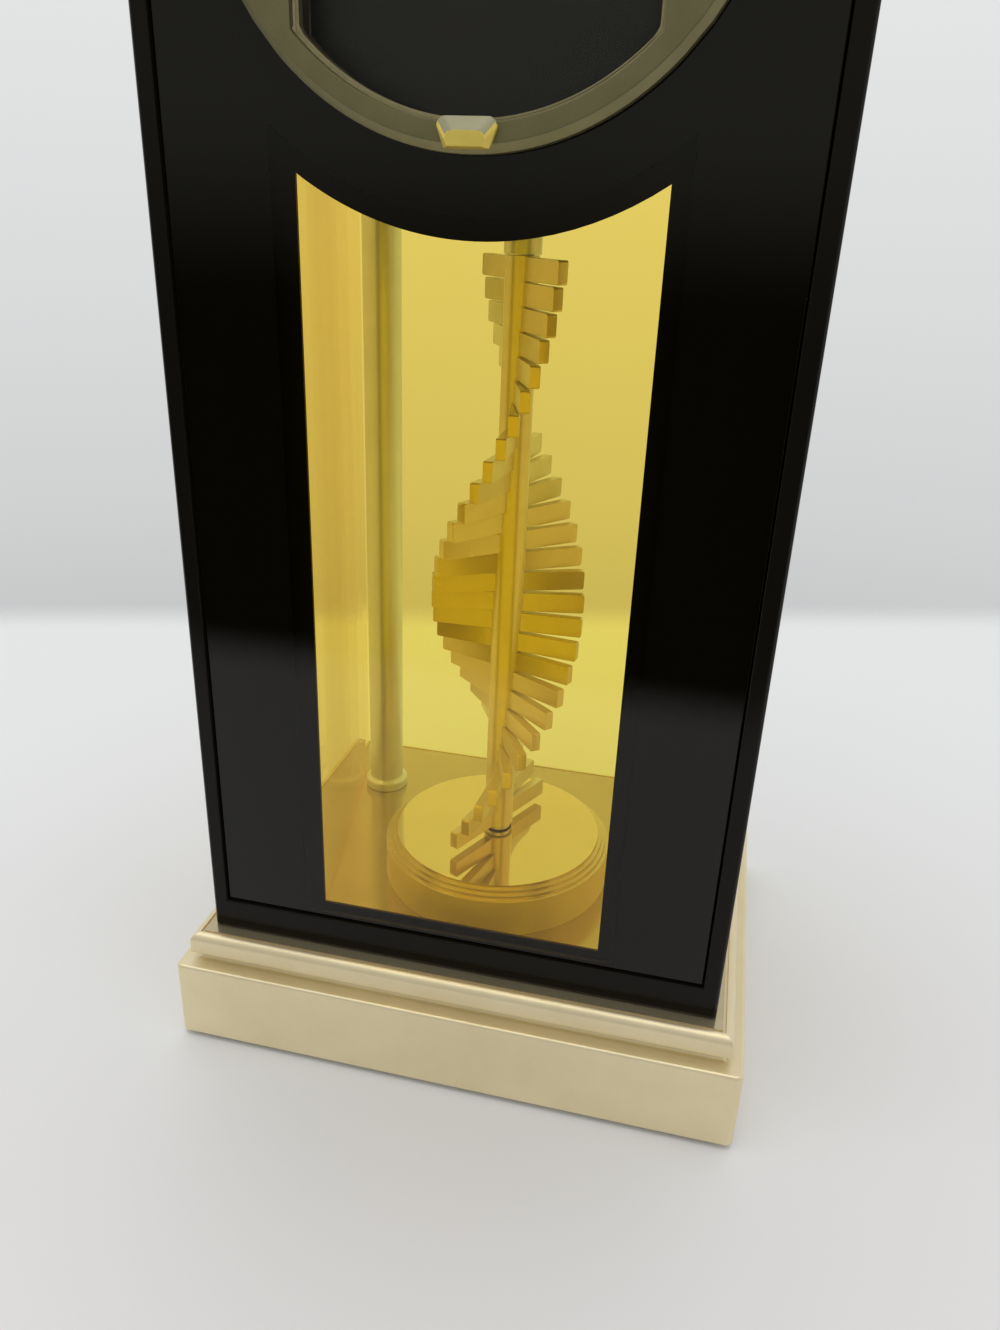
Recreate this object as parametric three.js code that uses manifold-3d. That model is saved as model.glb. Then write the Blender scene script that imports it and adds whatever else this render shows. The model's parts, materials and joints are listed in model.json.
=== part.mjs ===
// Desk clock with a see-through display chamber, in which a helix of blades turns below the dial.
// Millimetres, +Z up, the front faces -Y, and the origin is the middle of the footprint on the table.

import * as THREE from 'three';
import { mergeVertices } from 'three/addons/utils/BufferGeometryUtils.js';
import Module from 'manifold-3d';

const wasm = await Module();
wasm.setup();

// Fits
const GAP = 0.3;
const SHEET_GAP = 0.1;
const OVERRUN = 1;

// Case
const CASE_WIDTH = 108;
const CASE_HEIGHT = 252;

// Base moulding
const BASE_SIDE_STEP = 6.5;
const BASE_FRONT_STEP = 7.2;
const BASE_DEPTH = 102;
const BASE_CORNER = 1.6;
const SLAB_HEIGHT = 18.4;
const GROOVE_HEIGHT = 1.7;
const GROOVE_INSET = 4.3;
const BEAD_HEIGHT = 4.9;
const BEAD_INSET = 2.6;
const BEAD_ROUND = 1.8;
const EDGE_BREAK = 0.5;
const PAD_THICKNESS = 1;
const PAD_INSET = 3;

// Top cap moulding
const CAP_SLAB_HEIGHT = 9;

// Front frame
const FRAME_DEPTH = 6.6;
const FRAME_SIDE = 3.3;
const FRAME_END = 7.2;
const FRAME_LIP = 2;
const FRAME_BREAK = 0.6;

// Front panel and its black layer
const PANEL_SETBACK = 0.8;
const PANEL_THICKNESS = 3;
const MASK_THICKNESS = 0.5;
const WINDOW_HALF_WIDTH = 29.25;
const WINDOW_SILL = 9.5;
const WINDOW_ARC_RADIUS = 52.8;

// Dial
const DIAL_DROP = 59.2;
const RING_RADIUS = 41.1;
const RING_WIDTH = 3.9;
const RING_HALF_FLAT = 26.8;
const RING_HEIGHT = 3.2;
const RING_BEVEL = 1.2;
const RING_LEDGE = 0.8;
const CRYSTAL_THICKNESS = 1.4;
const CRYSTAL_SINK = 0.2;
const DIAL_PLATE_WIDTH = 92;
const DIAL_PLATE_THICKNESS = 1.5;
const DIAL_PLATE_BELOW = 39.3;
const DIAL_PLATE_ABOVE = 48;

// Markers
const MARKER_WIDTH = 10;
const MARKER_OUTER_WIDTH = 6.8;
const MARKER_LENGTH = 4.2;
const MARKER_OUTER_RADIUS = 40.5;
const MARKER_SIDE = 0.9;
const MARKER_HEIGHT = 2;
const MARKER_BEVEL = 1.1;

// Hands
const MINUTE_LENGTH = 25;
const HOUR_LENGTH = 17.5;
const HAND_TAIL = 6;
const HAND_HALF_WIDTH = 1.5;
const HAND_TIP_HALF_WIDTH = 0.8;
const HAND_THICKNESS = 0.5;
const HAND_LIFT = 1;
const HAND_SPACING = 0.8;
const MINUTE_ANGLE = 60;
const HOUR_ANGLE = 305;
const ARBOR_RADIUS = 0.9;
const SLEEVE_RADIUS = 2.2;
const HOUR_BOSS_RADIUS = 3.2;
const BUSH_RADIUS = 3.4;
const NUT_RADIUS = 2.4;
const NUT_HEIGHT = 1.4;
const NUT_FLATS = 6;

// Clock movement
const MOVEMENT_SIZE = 56;
const MOVEMENT_THICKNESS = 16;
const MOVEMENT_CORNER = 3;
const BUSH_DEPTH = 5;
const SOCKET_INSET = 6.5;
const STEM_MOTOR_GAP = 0.8;
const KNOB_RADIUS = 7;
const KNOB_HEIGHT = 5;
const KNOB_RIBS = 18;
const KNOB_RIB_DEPTH = 0.5;
const STEM_RADIUS = 2;
const SOCKET_HEIGHT = 5;
const SOCKET_WALL = 1.5;

// Upper housing
const HOUSING_INSET = 4;
const HOUSING_BACK_MARGIN = 1.7;
const HOUSING_WALL = 2.5;
const HOUSING_CORNER = 3;
const REAR_COVER_THICKNESS = 2.5;
const REAR_COVER_SETBACK = 49.2;
const POST_SIZE = 6;
const POST_LOW = 5;
const POST_HIGH = 18.5;
const SCREW_HOLE_RADIUS = 1.2;
const SCREW_HOLE_DEPTH = 9;

// Battery bay
const CELL_RADIUS = 7.1;
const CELL_LENGTH = 49.2;
const CELL_BUTTON_RADIUS = 2.7;
const CELL_BUTTON_LENGTH = 1.3;
const CELL_COUNT = 2;
const TRAY_WALL = 1.5;
const TRAY_TOP_DROP = 9;
const TRAY_PLAY = 0.8;
const RIDGE_HEIGHT = 2;
const COVER_OVERLAP = 1.5;
const COVER_THICKNESS = 2;
const RAIL_KNOB_GAP = 0.9;
const RAIL_WIDTH = 1.8;
const RAIL_LIP = 1.5;
const RAIL_LIP_THICKNESS = 1.2;
const GRIP_RIBS = 4;
const GRIP_RIB_HEIGHT = 0.8;
const GRIP_RIB_SPACING = 2.4;
const GRIP_WIDTH = 18;

// Pillars and side panes
const PILLAR_RADIUS = 4.4;
const PILLAR_INSET = 11.7;
const PILLAR_SETBACK = 69.5;
const FLANGE_RADIUS = 5.6;
const FLANGE_HEIGHT = 2.6;
const FLANGE_ROUND = 0.7;
const PANE_THICKNESS = 3;
const PANE_FRONT_HALF_GAP = 31.6;
const PANE_PILLAR_GAP = 1.7;
const PANE_BACK_OVERHANG = 5.5;

// Pedestal
const AXIS_SETBACK = 40;
const PEDESTAL_RADIUS = 26.5;
const PEDESTAL_HEIGHT = 11.4;
const PEDESTAL_STEPS = 3;
const PEDESTAL_STEP_WIDTH = 0.9;
const PEDESTAL_STEP_HEIGHT = 0.8;
const BUSH_WALL = 0.9;
const PEDESTAL_FLOOR = 2.5;

// Helix
const PLATE_COUNT = 28;
const STACK_BOTTOM_GAP = 1.6;
const STACK_TOP_GAP = 14.6;
const PLATE_SPACE = 0.3;
const PLATE_HALF_LENGTH = 16.4;
const PLATE_WIDTH = 2;
const PLATE_TIP_ROUND = 0.5;
const HUB_RADIUS = 3.3;
const HUB_SPACE = 0.1;
const FIRST_ANGLE = 128;
const FIRST_STEP_ANGLE = 2;
const FULL_STEP_ANGLE = 10.6;
const RAMP_PLATES = 10;
const SPINDLE_RADIUS = 1.5;
const SPINDLE_HEAD_RADIUS = 3.6;
const SPINDLE_COLLAR_RADIUS = 2.8;

// Drive motor
const MOTOR_RADIUS = 12;
const MOTOR_HEIGHT = 14;
const MOTOR_SOCKET_DEPTH = 7;
const MOTOR_EAR_REACH = 17;
const MOTOR_EAR_WIDTH = 8;
const MOTOR_EAR_THICKNESS = 2;

// Steps round a circle
const WIDE_STEPS = 56;
const MIDDLE_STEPS = 26;
const SMALL_STEPS = 16;
const BORE_STEPS = 10;
const ARC_STEPS = 10;
const CORNER_STEPS = 3;
const TIP_STEPS = 2;
const MOULDING_STEPS = 4;
const MIN_CORNER = 0.3;

// Places that follow from the sizes above
const BASE_WIDTH = CASE_WIDTH + 2 * BASE_SIDE_STEP;
const HOUSING_WIDTH = CASE_WIDTH - 2 * HOUSING_INSET;
const BASE_TOP = PAD_THICKNESS + SLAB_HEIGHT + GROOVE_HEIGHT + BEAD_HEIGHT;
const CASE_TOP = BASE_TOP + CASE_HEIGHT;
const FRONT_Y = -BASE_DEPTH / 2 + BASE_FRONT_STEP;
const PANEL_FRONT_Y = FRONT_Y + PANEL_SETBACK;
const MASK_FRONT_Y = PANEL_FRONT_Y + PANEL_THICKNESS + SHEET_GAP;
const LIP_FRONT_Y = MASK_FRONT_Y + MASK_THICKNESS + SHEET_GAP;
const DIAL_FRONT_Y = LIP_FRONT_Y + SHEET_GAP;
const DIAL_BACK_Y = DIAL_FRONT_Y + DIAL_PLATE_THICKNESS;
const MOVEMENT_FRONT_Y = DIAL_BACK_Y + SHEET_GAP;
const MOVEMENT_BACK_Y = MOVEMENT_FRONT_Y + MOVEMENT_THICKNESS;
const FRAME_BACK_Y = FRONT_Y + FRAME_DEPTH;
const COVER_FRONT_Y = FRAME_BACK_Y + REAR_COVER_SETBACK;
const COVER_BACK_Y = COVER_FRONT_Y + REAR_COVER_THICKNESS;
const DIAL_Z = CASE_TOP - DIAL_DROP;
const KNOB_Z = DIAL_Z - MOVEMENT_SIZE / 2 + SOCKET_INSET;
const MOTOR_TOP = KNOB_Z - STEM_RADIUS - STEM_MOTOR_GAP;
const MOTOR_BOTTOM = MOTOR_TOP - MOTOR_HEIGHT;
const HOUSING_BOTTOM = MOTOR_BOTTOM - HOUSING_WALL;
const AXIS_Y = FRONT_Y + AXIS_SETBACK;
const PILLAR_X = HOUSING_WIDTH / 2 - PILLAR_INSET;
const PILLAR_Y = FRONT_Y + PILLAR_SETBACK;
const HOUSING_BACK_Y = PILLAR_Y + FLANGE_RADIUS + HOUSING_BACK_MARGIN;
const POCKET_WIDTH = CASE_WIDTH - 2 * FRAME_SIDE;
const POCKET_HEIGHT = CASE_HEIGHT - 2 * FRAME_END;
const RING_INNER_RADIUS = RING_RADIUS - RING_WIDTH;
const LEDGE_RADIUS = RING_INNER_RADIUS - RING_LEDGE;
const LEDGE_HALF_FLAT = RING_HALF_FLAT - RING_LEDGE;
const RING_FRONT_Y = PANEL_FRONT_Y - RING_HEIGHT;
const CRYSTAL_FRONT_Y = RING_FRONT_Y + CRYSTAL_SINK;
const HOUR_FRONT_Y = DIAL_FRONT_Y - HAND_LIFT - HAND_THICKNESS;
const MINUTE_FRONT_Y = HOUR_FRONT_Y - HAND_SPACING - HAND_THICKNESS;
const PEDESTAL_TOP = BASE_TOP + PEDESTAL_HEIGHT;
const STACK_BOTTOM = PEDESTAL_TOP + STACK_BOTTOM_GAP;
const STACK_TOP = HOUSING_BOTTOM - STACK_TOP_GAP;
const PLATE_PITCH = (STACK_TOP - STACK_BOTTOM) / PLATE_COUNT;
const BUSH_INNER_RADIUS = SPINDLE_RADIUS + GAP;
const BUSH_OUTER_RADIUS = BUSH_INNER_RADIUS + BUSH_WALL;
const BAY_WIDTH = CELL_LENGTH + CELL_BUTTON_LENGTH + 2 * TRAY_PLAY;
const BAY_HEIGHT = CELL_COUNT * 2 * CELL_RADIUS + (CELL_COUNT + 1) * TRAY_PLAY;
const BAY_DEPTH = 2 * CELL_RADIUS + TRAY_PLAY;
const BAY_TOP = CASE_TOP - TRAY_TOP_DROP - TRAY_WALL;
const BAY_BOTTOM = BAY_TOP - BAY_HEIGHT;
const TRAY_BACK_Y = COVER_FRONT_Y - SHEET_GAP;

// Finishes
const FINISHES = {
  gold: { color: 0xcbb68b, roughness: 0.3, metalness: 1 },
  polishedGold: { color: 0xd2b878, roughness: 0.12, metalness: 1 },
  silver: { color: 0xc9cacb, roughness: 0.12, metalness: 1 },
  steel: { color: 0xb4b6b8, roughness: 0.35, metalness: 1 },
  blackGloss: { color: 0x0b0b0d, roughness: 0.12, metalness: 0 },
  blackPlastic: { color: 0x17171a, roughness: 0.45, metalness: 0 },
  blackPaint: { color: 0x050506, roughness: 0.6, metalness: 0 },
  greyPlastic: { color: 0x4a4c50, roughness: 0.6, metalness: 0 },
  felt: { color: 0x1d1e20, roughness: 1, metalness: 0 },
  amber: { color: 0xe8b21e, roughness: 0.06, metalness: 0, transparent: true, opacity: 0.45 },
  bronzePane: { color: 0xb08e58, roughness: 0.06, metalness: 0, transparent: true, opacity: 0.35 },
  clear: { color: 0xf4f6f6, roughness: 0.03, metalness: 0, transparent: true, opacity: 0.2 },
  cellSleeve: { color: 0x6c7075, roughness: 0.4, metalness: 0.3 },
};

// Solids from geometries, and back
function solidOf(geometry) {
  const bare = geometry.clone();
  bare.deleteAttribute('normal');
  bare.deleteAttribute('uv');
  const merged = mergeVertices(bare, 1e-4);
  const vertProperties = new Float32Array(merged.attributes.position.array);
  const triangles = [];
  for (let i = 0; i < merged.index.count; i += 3) {
    const corners = Array.from(merged.index.array.slice(i, i + 3));
    if (new Set(corners).size === 3) {
      triangles.push(...corners);
    }
  }
  const triVerts = new Uint32Array(triangles);
  return new wasm.Manifold(new wasm.Mesh({ numProp: 3, vertProperties, triVerts }));
}

function geometryOf(solid) {
  const { vertProperties, triVerts } = solid.getMesh();
  const geometry = new THREE.BufferGeometry();
  geometry.setAttribute('position', new THREE.BufferAttribute(vertProperties, 3));
  geometry.setIndex(new THREE.BufferAttribute(triVerts, 1));
  geometry.computeVertexNormals();
  return geometry;
}

function join(first, ...others) {
  return geometryOf(others.reduce((solid, piece) => solid.add(solidOf(piece)), solidOf(first)));
}

function cut(first, ...tools) {
  return geometryOf(tools.reduce((solid, piece) => solid.subtract(solidOf(piece)), solidOf(first)));
}

// A box between two corners
function box([x0, x1], [y0, y1], [z0, z1]) {
  const geometry = new THREE.BoxGeometry(x1 - x0, y1 - y0, z1 - z0);
  return geometry.translate((x0 + x1) / 2, (y0 + y1) / 2, (z0 + z1) / 2);
}

// A front-view outline, drawn in X and Z, made thick from frontY backwards
function facing(outline, frontY, thickness, curveSegments = 12, edge = 0) {
  const geometry = new THREE.ExtrudeGeometry(outline, {
    depth: thickness - 2 * edge,
    curveSegments,
    bevelEnabled: edge > 0,
    bevelThickness: edge,
    bevelSize: edge,
    bevelOffset: -edge,
    bevelSegments: 1,
  });
  geometry.rotateX(Math.PI / 2);
  return geometry.translate(0, frontY + thickness - edge, 0);
}

// A turned piece about a vertical axis, its profile given as [radius, height] from the bottom up
function turned(profile, steps, x = 0, y = 0) {
  const points = profile.map(([radius, height]) => new THREE.Vector2(radius, height));
  return new THREE.LatheGeometry(points, steps).rotateX(Math.PI / 2).translate(x, y, 0);
}

// The same about an axis along Y, its profile given as [radius, y] from the back to the front
function turnedAlongY(profile, steps, x, z) {
  const points = profile.map(([radius, y]) => new THREE.Vector2(radius, y)).reverse();
  return new THREE.LatheGeometry(points, steps).translate(x, 0, z);
}

// Plain round plugs, upright on the helix axis or along Y
function uprightPlug(radius, low, high, steps = SMALL_STEPS) {
  return turned([[0, low], [radius, low], [radius, high], [0, high]], steps, 0, AXIS_Y);
}

function plugAlongY(radius, front, back, z, x = 0, steps = SMALL_STEPS) {
  return turnedAlongY([[0, back], [radius, back], [radius, front], [0, front]], steps, x, z);
}

// Closed body through rings of points that all run the same way round
function loft(rings) {
  const count = rings[0].length;
  const indices = [];
  for (let ring = 0; ring < rings.length - 1; ring++) {
    for (let i = 0; i < count; i++) {
      const a = ring * count + i;
      const b = ring * count + (i + 1) % count;
      indices.push(a, b, b + count, a, b + count, a + count);
    }
  }
  const last = (rings.length - 1) * count;
  for (let i = 1; i < count - 1; i++) {
    indices.push(0, i + 1, i);
    indices.push(last, last + i, last + i + 1);
  }
  const geometry = new THREE.BufferGeometry();
  geometry.setAttribute('position', new THREE.Float32BufferAttribute(rings.flat(2), 3));
  geometry.setIndex(indices);
  geometry.computeVertexNormals();
  return geometry;
}

// One level of a moulding: a rounded rectangle drawn in by inset
function rectangleRing(width, depth, corner, inset, z) {
  const radius = Math.max(corner - inset, MIN_CORNER);
  const ring = [];
  for (let quarter = 0; quarter < 4; quarter++) {
    const centreX = (quarter === 0 || quarter === 3 ? 1 : -1) * (width / 2 - inset - radius);
    const centreY = (quarter < 2 ? 1 : -1) * (depth / 2 - inset - radius);
    for (let step = 0; step <= CORNER_STEPS; step++) {
      const angle = (quarter + step / CORNER_STEPS) * Math.PI / 2;
      ring.push([centreX + radius * Math.cos(angle), centreY + radius * Math.sin(angle), z]);
    }
  }
  return ring;
}

// Points of an arc as [inset, z], angles in degrees from the inward direction
function profileArc(inset, z, radius, from, to, steps) {
  return Array.from({ length: steps + 1 }, (_, i) => {
    const angle = THREE.MathUtils.degToRad(from + (to - from) * i / steps);
    return [inset + radius * Math.cos(angle), z + radius * Math.sin(angle)];
  });
}

// Outlines in the front view
function rectangleOutline(width, low, high, corner = 0) {
  const outline = new THREE.Shape();
  const half = width / 2;
  if (corner === 0) {
    return new THREE.Shape([[-half, low], [half, low], [half, high], [-half, high]]
      .map(([x, z]) => new THREE.Vector2(x, z)));
  }
  outline.absarc(half - corner, high - corner, corner, 0, Math.PI / 2);
  outline.absarc(-half + corner, high - corner, corner, Math.PI / 2, Math.PI);
  outline.absarc(-half + corner, low + corner, corner, Math.PI, 1.5 * Math.PI);
  outline.absarc(half - corner, low + corner, corner, 1.5 * Math.PI, 2 * Math.PI);
  return outline;
}

function circleOutline(x, z, radius) {
  return new THREE.Shape().absarc(x, z, radius, 0, 2 * Math.PI);
}

// Circle round the dial centre whose left and right are cut off straight
function flattenedCircle(radius, halfFlat) {
  const corner = Math.acos(halfFlat / radius);
  const outline = new THREE.Shape();
  outline.absarc(0, DIAL_Z, radius, corner, Math.PI - corner);
  outline.absarc(0, DIAL_Z, radius, Math.PI + corner, 2 * Math.PI - corner);
  return outline;
}

// Window with straight sides, and a top edge that follows the dial
function windowOutline() {
  const sill = BASE_TOP + WINDOW_SILL;
  const reach = Math.acos(WINDOW_HALF_WIDTH / WINDOW_ARC_RADIUS);
  const outline = new THREE.Shape();
  outline.moveTo(-WINDOW_HALF_WIDTH, sill);
  outline.lineTo(WINDOW_HALF_WIDTH, sill);
  outline.absarc(0, DIAL_Z, WINDOW_ARC_RADIUS, -reach, -Math.PI + reach, true);
  return outline;
}

// Base, cap and felt
function mouldingProfile(bottom, slabHeight) {
  const slabTop = bottom + slabHeight;
  const grooveTop = slabTop + GROOVE_HEIGHT;
  const beadTop = grooveTop + BEAD_HEIGHT;
  const cove = GROOVE_HEIGHT / 2;
  return [
    [EDGE_BREAK, bottom],
    [0, bottom + EDGE_BREAK],
    [0, slabTop - EDGE_BREAK],
    [EDGE_BREAK, slabTop],
    ...profileArc(GROOVE_INSET - cove, slabTop + cove, cove, -90, 90, MOULDING_STEPS),
    [BEAD_INSET + EDGE_BREAK, grooveTop],
    [BEAD_INSET, grooveTop + EDGE_BREAK],
    ...profileArc(BEAD_INSET + BEAD_ROUND, beadTop - BEAD_ROUND, BEAD_ROUND, 180, 90, MOULDING_STEPS),
  ];
}

function moulding(profile) {
  return loft(profile.map(([inset, z]) => rectangleRing(BASE_WIDTH, BASE_DEPTH, BASE_CORNER, inset, z)));
}

function base() {
  return moulding(mouldingProfile(PAD_THICKNESS, SLAB_HEIGHT));
}

function topCap() {
  const height = CAP_SLAB_HEIGHT + GROOVE_HEIGHT + BEAD_HEIGHT;
  const upright = mouldingProfile(0, CAP_SLAB_HEIGHT);
  return moulding(upright.map(([inset, z]) => [inset, CASE_TOP + height - z]).reverse());
}

function basePad() {
  const corner = BASE_CORNER + PAD_INSET;
  const level = (z) => rectangleRing(BASE_WIDTH, BASE_DEPTH, corner, PAD_INSET, z);
  return loft([level(0), level(PAD_THICKNESS)]);
}

// Front frame with a pocket for the panel and a lip behind it
function frontFrame() {
  const body = facing(rectangleOutline(CASE_WIDTH, BASE_TOP, CASE_TOP), FRONT_Y, FRAME_DEPTH, 1, FRAME_BREAK);
  const pocketX = [-POCKET_WIDTH / 2, POCKET_WIDTH / 2];
  const pocketZ = [BASE_TOP + FRAME_END, CASE_TOP - FRAME_END];
  const pocket = box(pocketX, [FRONT_Y - OVERRUN, LIP_FRONT_Y], pocketZ);
  const throughX = [pocketX[0] + FRAME_LIP, pocketX[1] - FRAME_LIP];
  const throughZ = [pocketZ[0] + FRAME_LIP, pocketZ[1] - FRAME_LIP];
  return cut(body, pocket, box(throughX, [FRONT_Y - OVERRUN, FRAME_BACK_Y + OVERRUN], throughZ));
}

function sheetOutline() {
  const low = BASE_TOP + FRAME_END + GAP;
  return rectangleOutline(POCKET_WIDTH - 2 * GAP, low, low + POCKET_HEIGHT - 2 * GAP);
}

function frontPanel() {
  const outline = sheetOutline();
  outline.holes.push(flattenedCircle(LEDGE_RADIUS + GAP, LEDGE_HALF_FLAT + GAP));
  return facing(outline, PANEL_FRONT_Y, PANEL_THICKNESS, ARC_STEPS);
}

function frontMask() {
  const outline = sheetOutline();
  outline.holes.push(flattenedCircle(LEDGE_RADIUS + GAP, LEDGE_HALF_FLAT + GAP), windowOutline());
  return facing(outline, MASK_FRONT_Y, MASK_THICKNESS, ARC_STEPS);
}

// Dial
function dialPlate() {
  const outline = rectangleOutline(DIAL_PLATE_WIDTH, DIAL_Z - DIAL_PLATE_BELOW, DIAL_Z + DIAL_PLATE_ABOVE);
  outline.holes.push(circleOutline(0, DIAL_Z, BUSH_RADIUS + GAP));
  return facing(outline, DIAL_FRONT_Y, DIAL_PLATE_THICKNESS, SMALL_STEPS / 2);
}

function chapterRing() {
  const blank = turnedAlongY([
    [0, PANEL_FRONT_Y],
    [RING_RADIUS, PANEL_FRONT_Y],
    [RING_RADIUS, RING_FRONT_Y + RING_BEVEL],
    [RING_RADIUS - RING_BEVEL, RING_FRONT_Y],
    [0, RING_FRONT_Y],
  ], WIDE_STEPS, 0, DIAL_Z);
  const ledge = flattenedCircle(LEDGE_RADIUS, LEDGE_HALF_FLAT);
  const through = facing(ledge, RING_FRONT_Y - OVERRUN, RING_HEIGHT + 2 * OVERRUN, ARC_STEPS);
  const seatOutline = flattenedCircle(RING_INNER_RADIUS, RING_HALF_FLAT);
  const seatDepth = CRYSTAL_SINK + CRYSTAL_THICKNESS + SHEET_GAP;
  const seat = facing(seatOutline, RING_FRONT_Y - OVERRUN, OVERRUN + seatDepth, ARC_STEPS);
  return cut(blank, through, seat);
}

function dialCrystal() {
  const outline = flattenedCircle(RING_INNER_RADIUS - GAP, RING_HALF_FLAT - GAP);
  return facing(outline, CRYSTAL_FRONT_Y, CRYSTAL_THICKNESS, ARC_STEPS);
}

// Block marker, wider towards the dial centre, drawn at 12 o'clock and turned to its hour
function marker(hour) {
  const back = RING_FRONT_Y - SHEET_GAP;
  const inner = MARKER_OUTER_RADIUS - MARKER_LENGTH;
  const level = (y, inset) => [
    [-MARKER_WIDTH / 2 + inset, y, inner + inset],
    [-MARKER_OUTER_WIDTH / 2 + inset, y, MARKER_OUTER_RADIUS - inset],
    [MARKER_OUTER_WIDTH / 2 - inset, y, MARKER_OUTER_RADIUS - inset],
    [MARKER_WIDTH / 2 - inset, y, inner + inset],
  ];
  const block = loft([
    level(back - MARKER_HEIGHT, MARKER_BEVEL),
    level(back - MARKER_SIDE, 0),
    level(back, 0),
  ]);
  return block.rotateY(THREE.MathUtils.degToRad(hour * 30)).translate(0, 0, DIAL_Z);
}

// Hands: a tapering blade on a round boss, with the sleeve or arbor that carries it
function handBlade(length, frontY, turn) {
  const outline = new THREE.Shape([
    [-HAND_HALF_WIDTH, -HAND_TAIL],
    [HAND_HALF_WIDTH, -HAND_TAIL],
    [HAND_TIP_HALF_WIDTH, length - 2 * HAND_HALF_WIDTH],
    [0, length],
    [-HAND_TIP_HALF_WIDTH, length - 2 * HAND_HALF_WIDTH],
  ].map(([x, z]) => new THREE.Vector2(x, z)));
  return facing(outline, frontY, HAND_THICKNESS)
    .rotateY(THREE.MathUtils.degToRad(turn))
    .translate(0, 0, DIAL_Z);
}

function hourHand() {
  const sleeve = turnedAlongY([
    [0, DIAL_BACK_Y],
    [SLEEVE_RADIUS, DIAL_BACK_Y],
    [SLEEVE_RADIUS, HOUR_FRONT_Y + HAND_THICKNESS],
    [HOUR_BOSS_RADIUS, HOUR_FRONT_Y + HAND_THICKNESS],
    [HOUR_BOSS_RADIUS, HOUR_FRONT_Y],
    [0, HOUR_FRONT_Y],
  ], SMALL_STEPS, 0, DIAL_Z);
  const bore = plugAlongY(ARBOR_RADIUS + GAP, HOUR_FRONT_Y - OVERRUN, DIAL_BACK_Y + OVERRUN, DIAL_Z);
  return cut(join(handBlade(HOUR_LENGTH, HOUR_FRONT_Y, HOUR_ANGLE), sleeve), bore);
}

function minuteHand() {
  const arbor = turnedAlongY([
    [0, DIAL_BACK_Y],
    [ARBOR_RADIUS, DIAL_BACK_Y],
    [ARBOR_RADIUS, MINUTE_FRONT_Y + HAND_THICKNESS],
    [SLEEVE_RADIUS, MINUTE_FRONT_Y + HAND_THICKNESS],
    [SLEEVE_RADIUS, MINUTE_FRONT_Y],
    [0, MINUTE_FRONT_Y],
  ], SMALL_STEPS, 0, DIAL_Z);
  return join(handBlade(MINUTE_LENGTH, MINUTE_FRONT_Y, MINUTE_ANGLE), arbor);
}

function handNut() {
  const back = MINUTE_FRONT_Y - SHEET_GAP;
  return turnedAlongY([
    [0, back],
    [NUT_RADIUS, back],
    [NUT_RADIUS, back - NUT_HEIGHT + EDGE_BREAK],
    [NUT_RADIUS - EDGE_BREAK, back - NUT_HEIGHT],
    [0, back - NUT_HEIGHT],
  ], NUT_FLATS, 0, DIAL_Z);
}

// Clock movement with its threaded bush in front and the setting socket behind
function movement() {
  const half = MOVEMENT_SIZE / 2;
  const outline = rectangleOutline(MOVEMENT_SIZE, DIAL_Z - half, DIAL_Z + half, MOVEMENT_CORNER);
  const body = facing(outline, MOVEMENT_FRONT_Y, MOVEMENT_THICKNESS, CORNER_STEPS, EDGE_BREAK);
  const bush = plugAlongY(BUSH_RADIUS, DIAL_FRONT_Y - HAND_LIFT / 2, MOVEMENT_FRONT_Y + OVERRUN, DIAL_Z);
  const sleeveBore = SLEEVE_RADIUS + GAP;
  const bushBore = plugAlongY(sleeveBore, DIAL_FRONT_Y - HAND_LIFT, MOVEMENT_FRONT_Y + BUSH_DEPTH, DIAL_Z);
  const stemBore = STEM_RADIUS + GAP;
  const socketBack = MOVEMENT_BACK_Y + SOCKET_HEIGHT;
  const socket = plugAlongY(stemBore + SOCKET_WALL, MOVEMENT_BACK_Y - OVERRUN, socketBack, KNOB_Z);
  const socketBore = plugAlongY(stemBore, MOVEMENT_BACK_Y, socketBack + OVERRUN, KNOB_Z);
  return cut(join(body, bush, socket), bushBore, socketBore);
}

function setKnob() {
  const front = COVER_BACK_Y + GAP;
  const points = Array.from({ length: KNOB_RIBS * 2 }, (_, i) => {
    const angle = Math.PI * i / KNOB_RIBS;
    const radius = KNOB_RADIUS - (i % 2) * KNOB_RIB_DEPTH;
    return new THREE.Vector2(radius * Math.cos(angle), KNOB_Z + radius * Math.sin(angle));
  });
  const head = facing(new THREE.Shape(points), front, KNOB_HEIGHT);
  return join(head, plugAlongY(STEM_RADIUS, MOVEMENT_BACK_Y + GAP, front + OVERRUN, KNOB_Z));
}

// Places of the four screws that hold the rear cover, shared by the posts and the cover
const SCREW_X = HOUSING_WIDTH / 2 - HOUSING_WALL - POST_SIZE / 2;
const SCREW_LOW_Z = HOUSING_BOTTOM + HOUSING_WALL + POST_LOW;
const SCREW_HIGH_Z = CASE_TOP - POST_HIGH;
const SCREW_PLACES = [-SCREW_X, SCREW_X].flatMap((x) => [[x, SCREW_LOW_Z], [x, SCREW_HIGH_Z]]);

function screwHoles(front, back) {
  return SCREW_PLACES.map(([x, z]) => plugAlongY(SCREW_HOLE_RADIUS, front, back, z, x, SMALL_STEPS / 2));
}

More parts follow.
